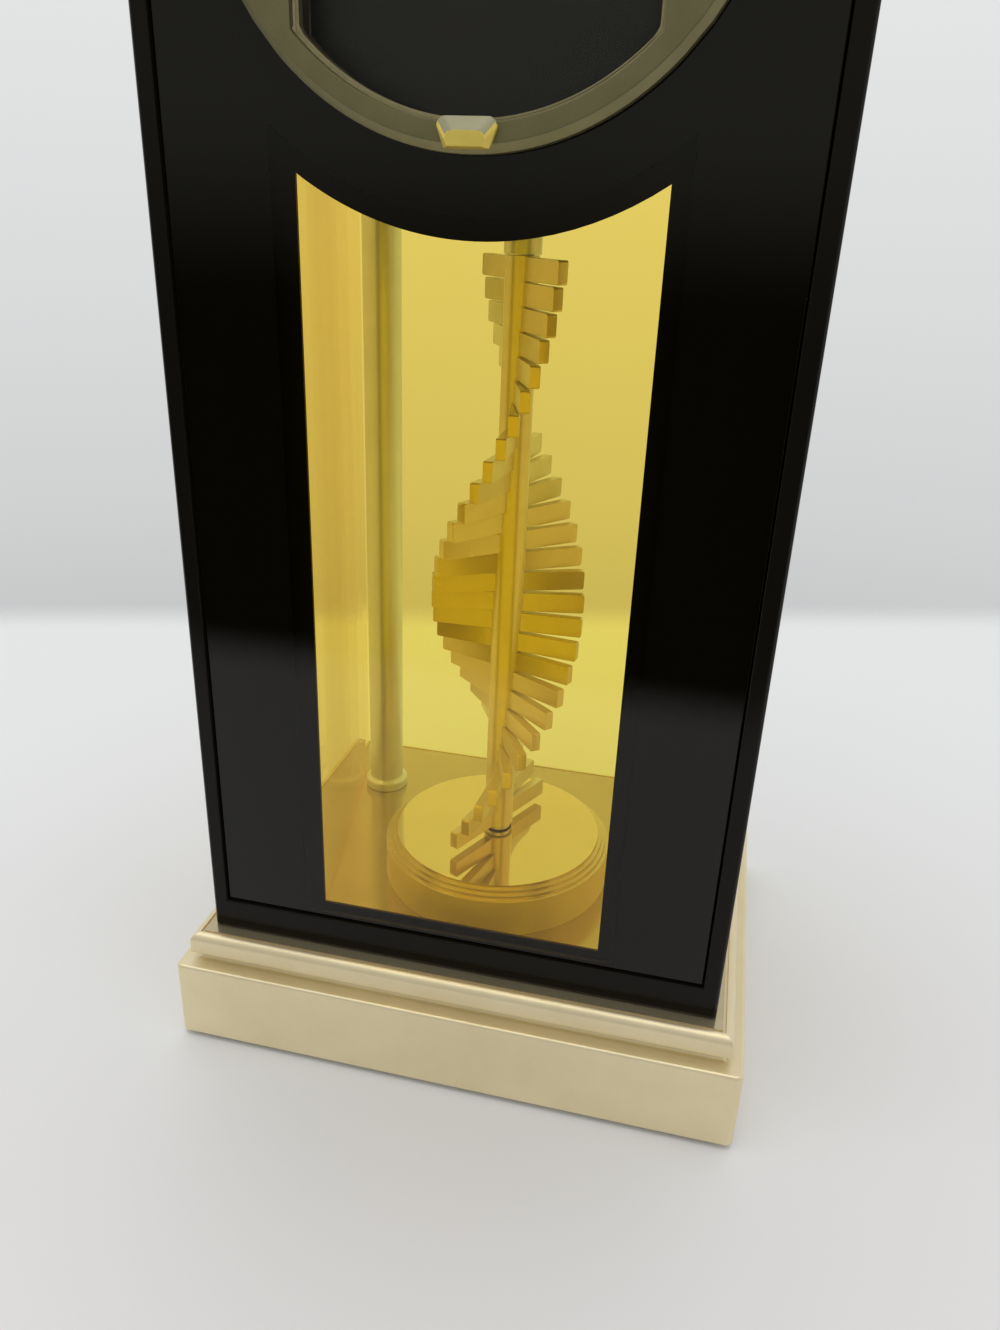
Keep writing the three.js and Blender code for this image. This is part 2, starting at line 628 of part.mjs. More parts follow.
// Upper housing: floor, roof and sides, open in front and behind, with posts between dial and rear cover
function housing() {
  const outline = rectangleOutline(HOUSING_WIDTH, HOUSING_BOTTOM, CASE_TOP, HOUSING_CORNER);
  const inner = rectangleOutline(
    HOUSING_WIDTH - 2 * HOUSING_WALL,
    HOUSING_BOTTOM + HOUSING_WALL,
    CASE_TOP - HOUSING_WALL,
    HOUSING_CORNER - HOUSING_WALL / 2,
  );
  outline.holes.push(inner);
  const walls = facing(outline, FRAME_BACK_Y, HOUSING_BACK_Y - FRAME_BACK_Y, CORNER_STEPS);
  const postEnd = COVER_FRONT_Y - SHEET_GAP;
  const rooted = POST_SIZE / 2 + HOUSING_WALL / 2;
  const posts = SCREW_PLACES.map(([x, z]) => box(
    x > 0 ? [x - POST_SIZE / 2, x + rooted] : [x - rooted, x + POST_SIZE / 2],
    [FRAME_BACK_Y, postEnd],
    [z - POST_SIZE / 2, z + POST_SIZE / 2],
  ));
  const noses = SCREW_PLACES.map(([x, z]) => box(
    [x - POST_SIZE / 2, x + POST_SIZE / 2],
    [DIAL_BACK_Y + SHEET_GAP, FRAME_BACK_Y + OVERRUN],
    [z - POST_SIZE / 2, z + POST_SIZE / 2],
  ));
  const holes = screwHoles(postEnd - SCREW_HOLE_DEPTH, postEnd + OVERRUN);
  const clearRadius = SPINDLE_HEAD_RADIUS + 2 * GAP;
  const spindleHole = uprightPlug(clearRadius, HOUSING_BOTTOM - OVERRUN, MOTOR_BOTTOM + OVERRUN);
  return cut(join(walls, ...posts, ...noses), ...holes, spindleHole);
}

// The battery cover's place, shared by the rails, the cover and the opening behind it
const COVER_HALF_WIDTH = BAY_WIDTH / 2 + COVER_OVERLAP;
const COVER_LOW = BAY_BOTTOM - COVER_OVERLAP;
const COVER_HIGH = BAY_TOP + COVER_OVERLAP;
const RAIL_LOW = KNOB_Z + KNOB_RADIUS + RAIL_KNOB_GAP;
const RAIL_BACK_Y = COVER_BACK_Y + 2 * SHEET_GAP + COVER_THICKNESS + GAP + RAIL_LIP_THICKNESS;

function rearCover() {
  const inset = HOUSING_WALL + GAP;
  const outline = rectangleOutline(
    HOUSING_WIDTH - 2 * inset,
    HOUSING_BOTTOM + inset,
    CASE_TOP - inset,
    HOUSING_CORNER - HOUSING_WALL / 2,
  );
  const plate = facing(outline, COVER_FRONT_Y, REAR_COVER_THICKNESS, CORNER_STEPS);
  const railHalf = COVER_HALF_WIDTH + GAP + RAIL_WIDTH;
  const railTop = COVER_HIGH + GAP + RAIL_WIDTH;
  const rails = box([-railHalf, railHalf], [COVER_BACK_Y - OVERRUN, RAIL_BACK_Y], [RAIL_LOW, railTop]);
  const channel = box(
    [-COVER_HALF_WIDTH - GAP, COVER_HALF_WIDTH + GAP],
    [COVER_BACK_Y, RAIL_BACK_Y - RAIL_LIP_THICKNESS],
    [RAIL_LOW - OVERRUN, COVER_HIGH + GAP],
  );
  const mouth = box(
    [-COVER_HALF_WIDTH + RAIL_LIP, COVER_HALF_WIDTH - RAIL_LIP],
    [COVER_BACK_Y, RAIL_BACK_Y + OVERRUN],
    [RAIL_LOW - OVERRUN, COVER_HIGH - RAIL_LIP],
  );
  const throughY = [COVER_FRONT_Y - OVERRUN, COVER_BACK_Y + OVERRUN];
  const bay = box([-BAY_WIDTH / 2, BAY_WIDTH / 2], throughY, [BAY_BOTTOM, BAY_TOP]);
  const stemHole = plugAlongY(STEM_RADIUS + GAP, ...throughY, KNOB_Z);
  return cut(join(plate, rails), channel, mouth, bay, stemHole, ...screwHoles(...throughY));
}

function batteryCover() {
  const front = COVER_BACK_Y + SHEET_GAP;
  const back = front + COVER_THICKNESS;
  const plate = box([-COVER_HALF_WIDTH, COVER_HALF_WIDTH], [front, back], [COVER_LOW, COVER_HIGH]);
  const ribX = [-GRIP_WIDTH / 2, GRIP_WIDTH / 2];
  const ribY = [back - GRIP_RIB_HEIGHT, back + GRIP_RIB_HEIGHT];
  const ribs = Array.from({ length: GRIP_RIBS }, (_, i) => {
    const z = COVER_LOW + (i + 2) * GRIP_RIB_SPACING;
    return box(ribX, ribY, [z - GRIP_RIB_SPACING / 4, z + GRIP_RIB_SPACING / 4]);
  });
  return join(plate, ...ribs);
}

// Tray behind the battery opening, with a low ridge between the cells
function batteryTray() {
  const outer = box(
    [-BAY_WIDTH / 2 - TRAY_WALL, BAY_WIDTH / 2 + TRAY_WALL],
    [TRAY_BACK_Y - BAY_DEPTH - TRAY_WALL, TRAY_BACK_Y],
    [BAY_BOTTOM - TRAY_WALL, BAY_TOP + TRAY_WALL],
  );
  const hollow = box(
    [-BAY_WIDTH / 2, BAY_WIDTH / 2],
    [TRAY_BACK_Y - BAY_DEPTH, TRAY_BACK_Y + OVERRUN],
    [BAY_BOTTOM, BAY_TOP],
  );
  const middle = (BAY_BOTTOM + BAY_TOP) / 2;
  const floorY = TRAY_BACK_Y - BAY_DEPTH;
  const rooted = TRAY_WALL / 2;
  const ridge = box(
    [-BAY_WIDTH / 2 - rooted, BAY_WIDTH / 2 + rooted],
    [floorY - rooted, floorY + RIDGE_HEIGHT],
    [middle - TRAY_PLAY / 4, middle + TRAY_PLAY / 4],
  );
  return join(cut(outer, hollow), ridge);
}

function cell(index) {
  const z = BAY_BOTTOM + TRAY_PLAY + CELL_RADIUS + index * (2 * CELL_RADIUS + TRAY_PLAY);
  const y = TRAY_BACK_Y - BAY_DEPTH + GAP + CELL_RADIUS;
  const body = turned([
    [0, 0],
    [CELL_RADIUS - EDGE_BREAK, 0],
    [CELL_RADIUS, EDGE_BREAK],
    [CELL_RADIUS, CELL_LENGTH - EDGE_BREAK],
    [CELL_RADIUS - EDGE_BREAK, CELL_LENGTH],
    [CELL_BUTTON_RADIUS, CELL_LENGTH],
    [CELL_BUTTON_RADIUS, CELL_LENGTH + CELL_BUTTON_LENGTH],
    [0, CELL_LENGTH + CELL_BUTTON_LENGTH],
  ], SMALL_STEPS);
  body.translate(0, 0, -(CELL_LENGTH + CELL_BUTTON_LENGTH) / 2);
  return body.rotateY(index % 2 === 0 ? Math.PI / 2 : -Math.PI / 2).translate(0, y, z);
}

// Pillar with a rounded flange at each end
function pillar(side) {
  const flange = [
    [0, 0],
    [FLANGE_RADIUS, 0],
    [FLANGE_RADIUS, FLANGE_HEIGHT - FLANGE_ROUND],
    [FLANGE_RADIUS - FLANGE_ROUND, FLANGE_HEIGHT],
    [PILLAR_RADIUS, FLANGE_HEIGHT],
  ];
  const lower = flange.map(([radius, height]) => [radius, BASE_TOP + height]);
  const upper = flange.map(([radius, height]) => [radius, HOUSING_BOTTOM - height]).reverse();
  return turned([...lower, ...upper], MIDDLE_STEPS, side * PILLAR_X, PILLAR_Y);
}

// Side pane, which stands askew from the front panel out past the pillar, notched over the frame's sill
function sidePane(side) {
  const frontY = LIP_FRONT_Y + GAP;
  const pillarX = PILLAR_X + PILLAR_RADIUS + PANE_PILLAR_GAP;
  const slope = (pillarX - PANE_FRONT_HALF_GAP) / (PILLAR_Y - frontY);
  const backY = PILLAR_Y + PANE_BACK_OVERHANG;
  const backX = PANE_FRONT_HALF_GAP + slope * (backY - frontY);
  const outward = PANE_THICKNESS * Math.hypot(1, slope);
  const corners = [
    [PANE_FRONT_HALF_GAP, frontY],
    [PANE_FRONT_HALF_GAP + outward, frontY],
    [backX + outward, backY],
    [backX, backY],
  ];
  const level = (z) => corners.map(([x, y]) => [side * x, y, z]);
  const rings = [level(BASE_TOP + SHEET_GAP), level(HOUSING_BOTTOM - SHEET_GAP)];
  const pane = loft(side > 0 ? rings : rings.map((ring) => ring.reverse()));
  const notch = box(
    [-CASE_WIDTH, CASE_WIDTH],
    [FRONT_Y, FRAME_BACK_Y + GAP],
    [BASE_TOP - OVERRUN, BASE_TOP + FRAME_END + FRAME_LIP + GAP],
  );
  return cut(pane, notch);
}

// Pedestal: straight side, then a stair of fine steps up to the flat top
function pedestal() {
  const profile = [
    [0, BASE_TOP],
    [PEDESTAL_RADIUS, BASE_TOP],
  ];
  for (let step = 0; step <= PEDESTAL_STEPS; step++) {
    const radius = PEDESTAL_RADIUS - step * PEDESTAL_STEP_WIDTH;
    const high = PEDESTAL_TOP - (PEDESTAL_STEPS - step) * PEDESTAL_STEP_HEIGHT;
    if (step > 0) {
      profile.push([radius, high - PEDESTAL_STEP_HEIGHT]);
    }
    profile.push([radius, high]);
  }
  profile.push([0, PEDESTAL_TOP]);
  const bore = uprightPlug(BUSH_OUTER_RADIUS + GAP, BASE_TOP + PEDESTAL_FLOOR, PEDESTAL_TOP + OVERRUN);
  return cut(turned(profile, WIDE_STEPS, 0, AXIS_Y), bore);
}

function lowerBush() {
  const low = BASE_TOP + PEDESTAL_FLOOR + GAP;
  return turned([
    [BUSH_INNER_RADIUS, low],
    [BUSH_OUTER_RADIUS, low],
    [BUSH_OUTER_RADIUS, PEDESTAL_TOP],
    [BUSH_INNER_RADIUS, PEDESTAL_TOP],
    [BUSH_INNER_RADIUS, low],
  ], SMALL_STEPS, 0, AXIS_Y);
}

// Spindle: thin through the bush and the hubs, thick above them up to the motor
function spindle() {
  const foot = BASE_TOP + PEDESTAL_FLOOR + GAP;
  const collarLow = PEDESTAL_TOP + GAP;
  const collarHigh = STACK_BOTTOM - SHEET_GAP;
  const headLow = STACK_TOP + SHEET_GAP;
  const headHigh = MOTOR_BOTTOM + MOTOR_SOCKET_DEPTH - GAP;
  return turned([
    [0, foot],
    [SPINDLE_RADIUS, foot],
    [SPINDLE_RADIUS, collarLow],
    [SPINDLE_COLLAR_RADIUS, collarLow],
    [SPINDLE_COLLAR_RADIUS, collarHigh],
    [SPINDLE_RADIUS, collarHigh],
    [SPINDLE_RADIUS, headLow],
    [SPINDLE_HEAD_RADIUS, headLow],
    [SPINDLE_HEAD_RADIUS, headHigh],
    [0, headHigh],
  ], SMALL_STEPS, 0, AXIS_Y);
}

// How far a plate is turned, counted from the top plate, whose steps ease in over the first few
function plateTurn(index) {
  const eased = Math.min(index, RAMP_PLATES);
  const gain = (FULL_STEP_ANGLE - FIRST_STEP_ANGLE) / (2 * RAMP_PLATES);
  return FIRST_ANGLE - FIRST_STEP_ANGLE * eased - gain * eased ** 2 - FULL_STEP_ANGLE * (index - eased);
}

// One blade across its hub, with rounded tips, its middle at the origin
function helixPlate() {
  const high = (PLATE_PITCH - PLATE_SPACE) / 2;
  const outline = rectangleOutline(2 * PLATE_HALF_LENGTH, -high, high, PLATE_TIP_ROUND);
  const blade = facing(outline, -PLATE_WIDTH / 2, PLATE_WIDTH, TIP_STEPS);
  const hubHigh = (PLATE_PITCH - HUB_SPACE) / 2;
  const hub = uprightPlug(HUB_RADIUS, -hubHigh, hubHigh).translate(0, -AXIS_Y, 0);
  const boreRadius = SPINDLE_RADIUS + GAP;
  const bore = uprightPlug(boreRadius, -PLATE_PITCH, PLATE_PITCH, BORE_STEPS).translate(0, -AXIS_Y, 0);
  return cut(join(blade, hub), bore);
}

function driveMotor() {
  const can = turned([
    [0, MOTOR_BOTTOM],
    [MOTOR_RADIUS, MOTOR_BOTTOM],
    [MOTOR_RADIUS, MOTOR_TOP - EDGE_BREAK],
    [MOTOR_RADIUS - EDGE_BREAK, MOTOR_TOP],
    [0, MOTOR_TOP],
  ], MIDDLE_STEPS, 0, AXIS_Y);
  const ears = box(
    [-MOTOR_EAR_REACH, MOTOR_EAR_REACH],
    [AXIS_Y - MOTOR_EAR_WIDTH / 2, AXIS_Y + MOTOR_EAR_WIDTH / 2],
    [MOTOR_BOTTOM, MOTOR_BOTTOM + MOTOR_EAR_THICKNESS],
  );
  const socketTop = MOTOR_BOTTOM + MOTOR_SOCKET_DEPTH;
  const socket = uprightPlug(SPINDLE_HEAD_RADIUS + GAP, MOTOR_BOTTOM - OVERRUN, socketTop);
  return cut(join(can, ears), socket);
}

// Assembly
function piece(name, geometry, finish) {
  const mesh = new THREE.Mesh(geometry, new THREE.MeshStandardMaterial(FINISHES[finish]));
  mesh.name = name;
  return mesh;
}

function helix() {
  const group = new THREE.Group();
  const plate = helixPlate();
  for (let index = 0; index < PLATE_COUNT; index++) {
    const mesh = piece(`helix_plate_${String(index + 1).padStart(2, '0')}`, plate, 'polishedGold');
    mesh.position.set(0, AXIS_Y, STACK_TOP - (index + 0.5) * PLATE_PITCH);
    mesh.rotation.z = THREE.MathUtils.degToRad(plateTurn(index));
    group.add(mesh);
  }
  group.add(piece('spindle', spindle(), 'silver'));
  return group;
}

const clock = new THREE.Group();
clock.add(
  piece('base_pad', basePad(), 'felt'),
  piece('base', base(), 'gold'),
  piece('top_cap', topCap(), 'gold'),
  piece('front_frame', frontFrame(), 'blackGloss'),
  piece('front_panel', frontPanel(), 'amber'),
  piece('front_mask', frontMask(), 'blackPaint'),
  piece('dial_plate', dialPlate(), 'blackPaint'),
  piece('chapter_ring', chapterRing(), 'gold'),
  piece('dial_crystal', dialCrystal(), 'clear'),
  piece('hour_hand', hourHand(), 'gold'),
  piece('minute_hand', minuteHand(), 'gold'),
  piece('hand_nut', handNut(), 'gold'),
  piece('movement', movement(), 'greyPlastic'),
  piece('set_knob', setKnob(), 'blackPlastic'),
  piece('housing', housing(), 'blackGloss'),
  piece('rear_cover', rearCover(), 'blackPlastic'),
  piece('battery_cover', batteryCover(), 'blackPlastic'),
  piece('battery_tray', batteryTray(), 'blackPlastic'),
  piece('pedestal', pedestal(), 'polishedGold'),
  piece('lower_bush', lowerBush(), 'steel'),
  piece('drive_motor', driveMotor(), 'steel'),
  helix(),
);
for (const hour of [12, 3, 6, 9]) {
  clock.add(piece(`marker_${hour}`, marker(hour), 'polishedGold'));
}
for (const [name, side] of [['left', -1], ['right', 1]]) {
  clock.add(piece(`pillar_${name}`, pillar(side), 'silver'));
  clock.add(piece(`side_pane_${name}`, sidePane(side), 'bronzePane'));
}
for (let index = 0; index < CELL_COUNT; index++) {
  clock.add(piece(`battery_${index + 1}`, cell(index), 'cellSleeve'));
}

export default clock;
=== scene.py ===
"""The looks of a desk clock whose helix of blades turns below its dial.

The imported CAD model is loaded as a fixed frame. Each sub-assembly below gives its nodes a finish,
or puts a finer piece in a node's place, and every piece rides on the body of the node it stands for.
Lengths are in millimetres, and become metres where a mesh is stored. The studio's are in metres.
"""

import json
import logging
import math
from collections.abc import Callable, Iterable, Sequence
from dataclasses import dataclass
from enum import Enum, IntEnum

import bmesh
import bpy
from mathutils import Matrix, Vector
from mathutils.geometry import tessellate_polygon

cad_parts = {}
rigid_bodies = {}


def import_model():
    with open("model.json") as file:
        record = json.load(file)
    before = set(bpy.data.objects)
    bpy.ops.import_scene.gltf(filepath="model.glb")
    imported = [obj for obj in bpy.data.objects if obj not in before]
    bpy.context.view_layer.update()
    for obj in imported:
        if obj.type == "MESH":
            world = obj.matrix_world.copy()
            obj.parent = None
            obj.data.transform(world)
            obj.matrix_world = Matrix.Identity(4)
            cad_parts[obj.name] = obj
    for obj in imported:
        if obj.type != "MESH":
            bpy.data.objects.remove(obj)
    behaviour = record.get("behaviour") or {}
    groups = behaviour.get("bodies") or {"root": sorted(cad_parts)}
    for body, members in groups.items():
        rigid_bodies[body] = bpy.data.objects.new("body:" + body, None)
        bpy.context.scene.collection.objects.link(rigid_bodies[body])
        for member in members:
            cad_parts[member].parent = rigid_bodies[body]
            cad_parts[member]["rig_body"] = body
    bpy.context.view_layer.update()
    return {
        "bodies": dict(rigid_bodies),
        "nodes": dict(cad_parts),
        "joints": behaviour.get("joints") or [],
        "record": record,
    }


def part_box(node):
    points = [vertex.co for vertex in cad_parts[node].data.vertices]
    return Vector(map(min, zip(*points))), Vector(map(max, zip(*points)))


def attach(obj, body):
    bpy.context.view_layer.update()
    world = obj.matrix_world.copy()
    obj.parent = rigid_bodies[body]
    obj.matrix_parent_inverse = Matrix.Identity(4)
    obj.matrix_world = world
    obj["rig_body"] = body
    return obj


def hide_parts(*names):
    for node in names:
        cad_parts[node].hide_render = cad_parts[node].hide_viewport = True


LOG = logging.getLogger("desk_clock")
MM = 0.001

# Places that several sub-assemblies share
FLOOR_HEIGHT = 26.0
DIAL_HEIGHT = 218.8
HELIX_AXIS_Y = -3.8

# How far apart points and measures may be to count as one
JOIN_DISTANCE = 0.0005
CAD_JOIN_DISTANCE = 0.002
SAME_PLACE = 0.05

# Angles in degrees: up to the first two a face is flat, from the last one an edge is shaded as sharp
FLAT_ANGLE = 0.3
CAD_FLAT_ANGLE = 0.4
SHADING_ANGLE = 32.0

Colour = tuple[float, float, float]
Point = tuple[float, float]
Place = tuple[float, float, float]


class Body(Enum):
    """The moving bodies of the clock."""

    CASE = "case"
    HELIX = "helix"
    MINUTE = "minute_hand"
    HOUR = "hour_hand"
    KNOB = "set_knob"
    COVER = "battery_cover"


class Slot(Enum):
    """The record's material slots, which each new piece names."""

    GOLD = "gold"
    POLISHED_GOLD = "polished_gold"
    SILVER = "silver"
    STEEL = "steel"
    BLACK_GLOSS = "black_gloss"
    BLACK_PLASTIC = "black_plastic"
    GREY_PLASTIC = "grey_plastic"
    AMBER = "amber"
    CELL_SLEEVE = "cell_sleeve"


class Axis(Enum):
    """The direction that a turned piece is turned about."""

    UP = "up"
    BACKWARDS = "backwards"
    SIDEWAYS = "sideways"


class MouldingFace(IntEnum):
    """The material numbers of the base."""

    OUTSIDE = 0
    FLOOR = 1


class SheetFace(IntEnum):
    """The material numbers of the amber sheet."""

    CLEAR = 0
    PRINTED = 1
    CUT = 2
    GLOSS = 3


class MarkerFace(IntEnum):
    """The material numbers of a marker: its bright faces, and its slope, which takes a darker copy of the
    gold as painted shade.
    """

    BRIGHT = 0
    SHADED_SLOPE = 1


class CellFace(IntEnum):
    """The material numbers of a cell."""

    SLEEVE = 0
    METAL = 1
    END_RING = 2


class PedestalFace(IntEnum):
    """The material numbers of the pedestal."""

    TOP = 0
    STAIR = 1
    SIDE = 2


class BladeFace(IntEnum):
    """The material numbers of a blade of the helix."""

    BLADE = 0
    HUB = 1


def from_screen(red: float, green: float, blue: float) -> Colour:
    """Turns a colour as a screen shows it into linear light.

    Args:
        red: Red from 0 to 255.
        green: Green from 0 to 255.
        blue: Blue from 0 to 255.

    Returns:
        The linear colour, each part from 0 to 1.
    """

    def linear(value: float) -> float:
        """Undoes the screen's curve for one part, with the numbers of the sRGB standard."""
        share = value / 255
        return share / 12.92 if share <= 0.04045 else ((share + 0.055) / 1.055) ** 2.4

    return (linear(red), linear(green), linear(blue))


# Shader arithmetic


class Signal:
    """What leaves a socket of a shader node, with the arithmetic that values need."""

    def __init__(self, shader: "Shader", socket: bpy.types.NodeSocket) -> None:
        """Keeps the socket and the shader that it belongs to."""
        self.shader = shader
        self.socket = socket

    def _math(self, operation: str, first: "Signal | float", second: "Signal | float") -> "Signal":
        """Adds one Math node.

        Args:
            operation: The node's operation.
            first: The first operand.
            second: The second operand.

        Returns:
            The node's value.
        """
        return self.shader.node("ShaderNodeMath", {"operation": operation}, {0: first, 1: second})

    def __add__(self, other: "Signal | float") -> "Signal":
        """Adds two values."""
        return self._math("ADD", self, other)

    def __radd__(self, other: float) -> "Signal":
        """Adds a number and this value."""
        return self._math("ADD", other, self)

    def __sub__(self, other: "Signal | float") -> "Signal":
        """Takes the other value from this one."""
        return self._math("SUBTRACT", self, other)

    def __rsub__(self, other: float) -> "Signal":
        """Takes this value from a number."""
        return self._math("SUBTRACT", other, self)

    def __mul__(self, other: "Signal | float") -> "Signal":
        """Multiplies two values."""
        return self._math("MULTIPLY", self, other)

    def __rmul__(self, other: float) -> "Signal":
        """Multiplies a number and this value."""
        return self._math("MULTIPLY", other, self)

    def smooth(self, low: float, high: float) -> "Signal":
        """Rises smoothly from 0 to 1 between two limits.

        Args:
            low: Where the result leaves 0.
            high: Where the result reaches 1.

        Returns:
            The eased share.
        """
        inputs = {"Value": self, "From Min": low, "From Max": high}
        return self.shader.node("ShaderNodeMapRange", {"interpolation_type": "SMOOTHSTEP"}, inputs)


class Shader:
    """The nodes of one material or of the world."""

    def __init__(self, tree: bpy.types.NodeTree) -> None:
        """Starts from an empty tree."""
        self.tree = tree
        self.tree.nodes.clear()

    def add(
        self,
        kind: str,
        settings: dict[str, object] | None = None,
        inputs: dict[int | str, object] | None = None,
    ) -> bpy.types.Node:
        """Adds one node.

        Args:
            kind: The node's type.
            settings: Its properties, or the stops of its ramp, which are set first.
            inputs: Values or signals for its sockets, by name or number.

        Returns:
            The node.
        """
        made = self.tree.nodes.new(kind)
        for key, value in (settings or {}).items():
            if key == "stops":
                self._set_stops(made.color_ramp, value)
            else:
                setattr(made, key, value)
        for key, value in (inputs or {}).items():
            socket = made.inputs[key]
            if isinstance(value, Signal):
                self.tree.links.new(value.socket, socket)
            elif socket.type == "RGBA":
                socket.default_value = (*value, 1.0)
            else:
                socket.default_value = value
        return made

    def node(
        self,
        kind: str,
        settings: dict[str, object] | None = None,
        inputs: dict[int | str, object] | None = None,
        output: int | str = 0,
    ) -> Signal:
        """Adds one node and hands back one of its sockets.

        Args:
            kind: The node's type.
            settings: Its properties, as in add.
            inputs: Its sockets, as in add.
            output: The socket that is handed back.

        Returns:
            That socket as a signal.
        """
        return Signal(self, self.add(kind, settings, inputs).outputs[output])

    @staticmethod
    def _set_stops(ramp: bpy.types.ColorRamp, stops: Sequence[tuple[float, Colour]]) -> None:
        """Writes a ramp's stops.

        Args:
            ramp: The ramp to fill.
            stops: The place and colour of each stop.
        """
        while len(ramp.elements) < len(stops):
            ramp.elements.new(1.0)
        for element, (place, colour) in zip(ramp.elements, stops):
            element.position = place
            element.color = (*colour, 1.0)

    def position(self, stretch: Place = (1.0, 1.0, 1.0)) -> Signal:
        """The place on the piece in metres, with each direction stretched as asked."""
        place = self.node("ShaderNodeTexCoord", output="Object")
        return self.node("ShaderNodeMapping", {"vector_type": "POINT"}, {"Vector": place, "Scale": stretch})

    def noise(self, place: Signal, grain: float, detail: float = 3.0, roughness: float = 0.5) -> Signal:
        """Soft noise.

        Args:
            place: Where it is read.
            grain: The size of its patches in millimetres.
            detail: How many finer layers it has.
            roughness: How strong the finer layers are.

        Returns:
            A value from 0 to 1.
        """
        inputs = {"Vector": place, "Scale": 1 / (grain * MM), "Detail": detail, "Roughness": roughness}
        return self.node("ShaderNodeTexNoise", {"normalize": True}, inputs)

    def cells(self, place: Signal, grain: float) -> Signal:
        """Distance to the nearest of many scattered points, which looks like moulded grain."""
        inputs = {"Vector": place, "Scale": 1 / (grain * MM)}
        return self.node("ShaderNodeTexVoronoi", {"feature": "SMOOTH_F1"}, inputs)

    def blend(self, share: Signal, first: "Signal | Colour", second: "Signal | Colour") -> Signal:
        """Mixes two colours.

        Args:
            share: 0 for the first colour, 1 for the second.
            first: The first colour.
            second: The second colour.

        Returns:
            The mixed colour.
        """
        inputs = {0: share, 6: first, 7: second}
        return self.node("ShaderNodeMix", {"data_type": "RGBA"}, inputs, 2)

    def relief(self, height: Signal, depth: float) -> Signal:
        """A bump.

        Args:
            height: The height, from 0 to 1.
            depth: How deep a height of 1 is, in millimetres.

        Returns:
            The bent normal.
        """
        return self.node("ShaderNodeBump", {}, {"Height": height, "Distance": depth * MM})

    def mix_surfaces(self, share: Signal, first: Signal, second: Signal) -> Signal:
        """Mixes two surfaces, 0 for the first and 1 for the second."""
        return self.node("ShaderNodeMixShader", {}, {0: share, 1: first, 2: second})

    def light_path(self, question: str) -> Signal:
        """What kind of ray is asking."""
        return self.node("ShaderNodeLightPath", output=question)


# Finishes


@dataclass(frozen=True)
class Finish:
    """A material in two tones, made once and then shared."""

    name: str
    colour: Colour
    shade: Colour

    def material(self) -> bpy.types.Material:
        """Finds the material, or makes it at its first use."""
        found = bpy.data.materials.get(self.name)
        if found is not None:
            return found
        made = bpy.data.materials.new(self.name)
        made.use_nodes = True
        shader = Shader(made.node_tree)
        shader.add("ShaderNodeOutputMaterial", {}, {"Surface": self.surface(shader)})
        return made

    def surface(self, shader: Shader) -> Signal:
        """Draws the finish as one shader with the inputs of its kind."""
        return shader.node("ShaderNodeBsdfPrincipled", {}, self.inputs(shader))

    def inputs(self, shader: Shader) -> dict[str, object]:
        """Draws the pattern of its kind, and gives the shader's inputs by name."""
        raise NotImplementedError


@dataclass(frozen=True)
class Metal(Finish):
    """A metal with soft clouds of tone, fine rub marks and a slight grain."""

    roughness: float
    metallic: float = 1.0
    spread: float = 0.1
    cloud: float = 14.0
    grain: float = 0.3
    relief: float = 0.002
    stretch: Place = (1.0, 1.0, 1.0)
    mark_share: float = 0.3

    def inputs(self, shader: Shader) -> dict[str, object]:
        """Draws clouded metal whose rub marks run along its stretch."""
        clouds = shader.noise(shader.position(), self.cloud, detail=5.0, roughness=0.6)
        marks = shader.noise(shader.position(self.stretch), self.grain, detail=4.0, roughness=0.7)
        tone = clouds * (1 - self.mark_share) + marks * self.mark_share
        return {
            "Base Color": shader.blend(tone.smooth(0.3, 0.7), self.colour, self.shade),
            "Metallic": self.metallic,
            "Roughness": self.roughness + (clouds - 0.5) * self.spread + (marks - 0.5) * self.spread,
            "Normal": shader.relief(marks, self.relief),
        }


@dataclass(frozen=True)
class Moulded(Finish):
    """Moulded plastic with a fine even grain."""

    roughness: float
    grain: float = 0.35
    relief: float = 0.012
    handling: float = 9.0

    def inputs(self, shader: Shader) -> dict[str, object]:
        """Draws plastic with a pebbled grain and faint handling marks."""
        place = shader.position()
        pebbles = shader.cells(place, self.grain)
        marks = shader.noise(place, self.handling, detail=5.0, roughness=0.6)
        return {
            "Base Color": shader.blend(marks.smooth(0.35, 0.7), self.colour, self.shade),
            "Roughness": self.roughness + (marks - 0.5) * 0.14 + pebbles * 0.05,
            "Normal": shader.relief(pebbles, self.relief),
        }


@dataclass(frozen=True)
class Gloss(Finish):
    """Polished black, with the faint smears that polish shows."""

    roughness: float = 0.05
    ior: float = 1.36
    smear: float = 0.06
    peel: float = 0.0012
    smear_size: float = 11.0
    smear_stretch: Place = (1.0, 1.0, 0.35)
    peel_size: float = 2.4

    def inputs(self, shader: Shader) -> dict[str, object]:
        """Draws a clear gloss with upright smears and a trace of orange peel."""
        streaks = shader.position(self.smear_stretch)
        smears = shader.noise(streaks, self.smear_size, detail=6.0, roughness=0.65)
        peel = shader.noise(shader.position(), self.peel_size, detail=1.0)
        return {
            "Base Color": shader.blend(smears, self.colour, self.shade),
            "Roughness": self.roughness + smears.smooth(0.45, 0.8) * self.smear,
            "IOR": self.ior,
            "Normal": shader.relief(peel, self.peel),
        }


@dataclass(frozen=True)
class Ink(Finish):
    """A dull layer printed on the back of a sheet, which mirrors nothing."""

    mottle: float = 1.6

    def inputs(self, shader: Shader) -> dict[str, object]:
        """Draws dull ink with a faint mottle."""
        mottle = shader.noise(shader.position(), self.mottle, detail=4.0)
        return {
            "Base Color": shader.blend(mottle, self.colour, self.shade),
            "Roughness": 0.85 + mottle * 0.1,
            "Specular IOR Level": 0.0,
        }


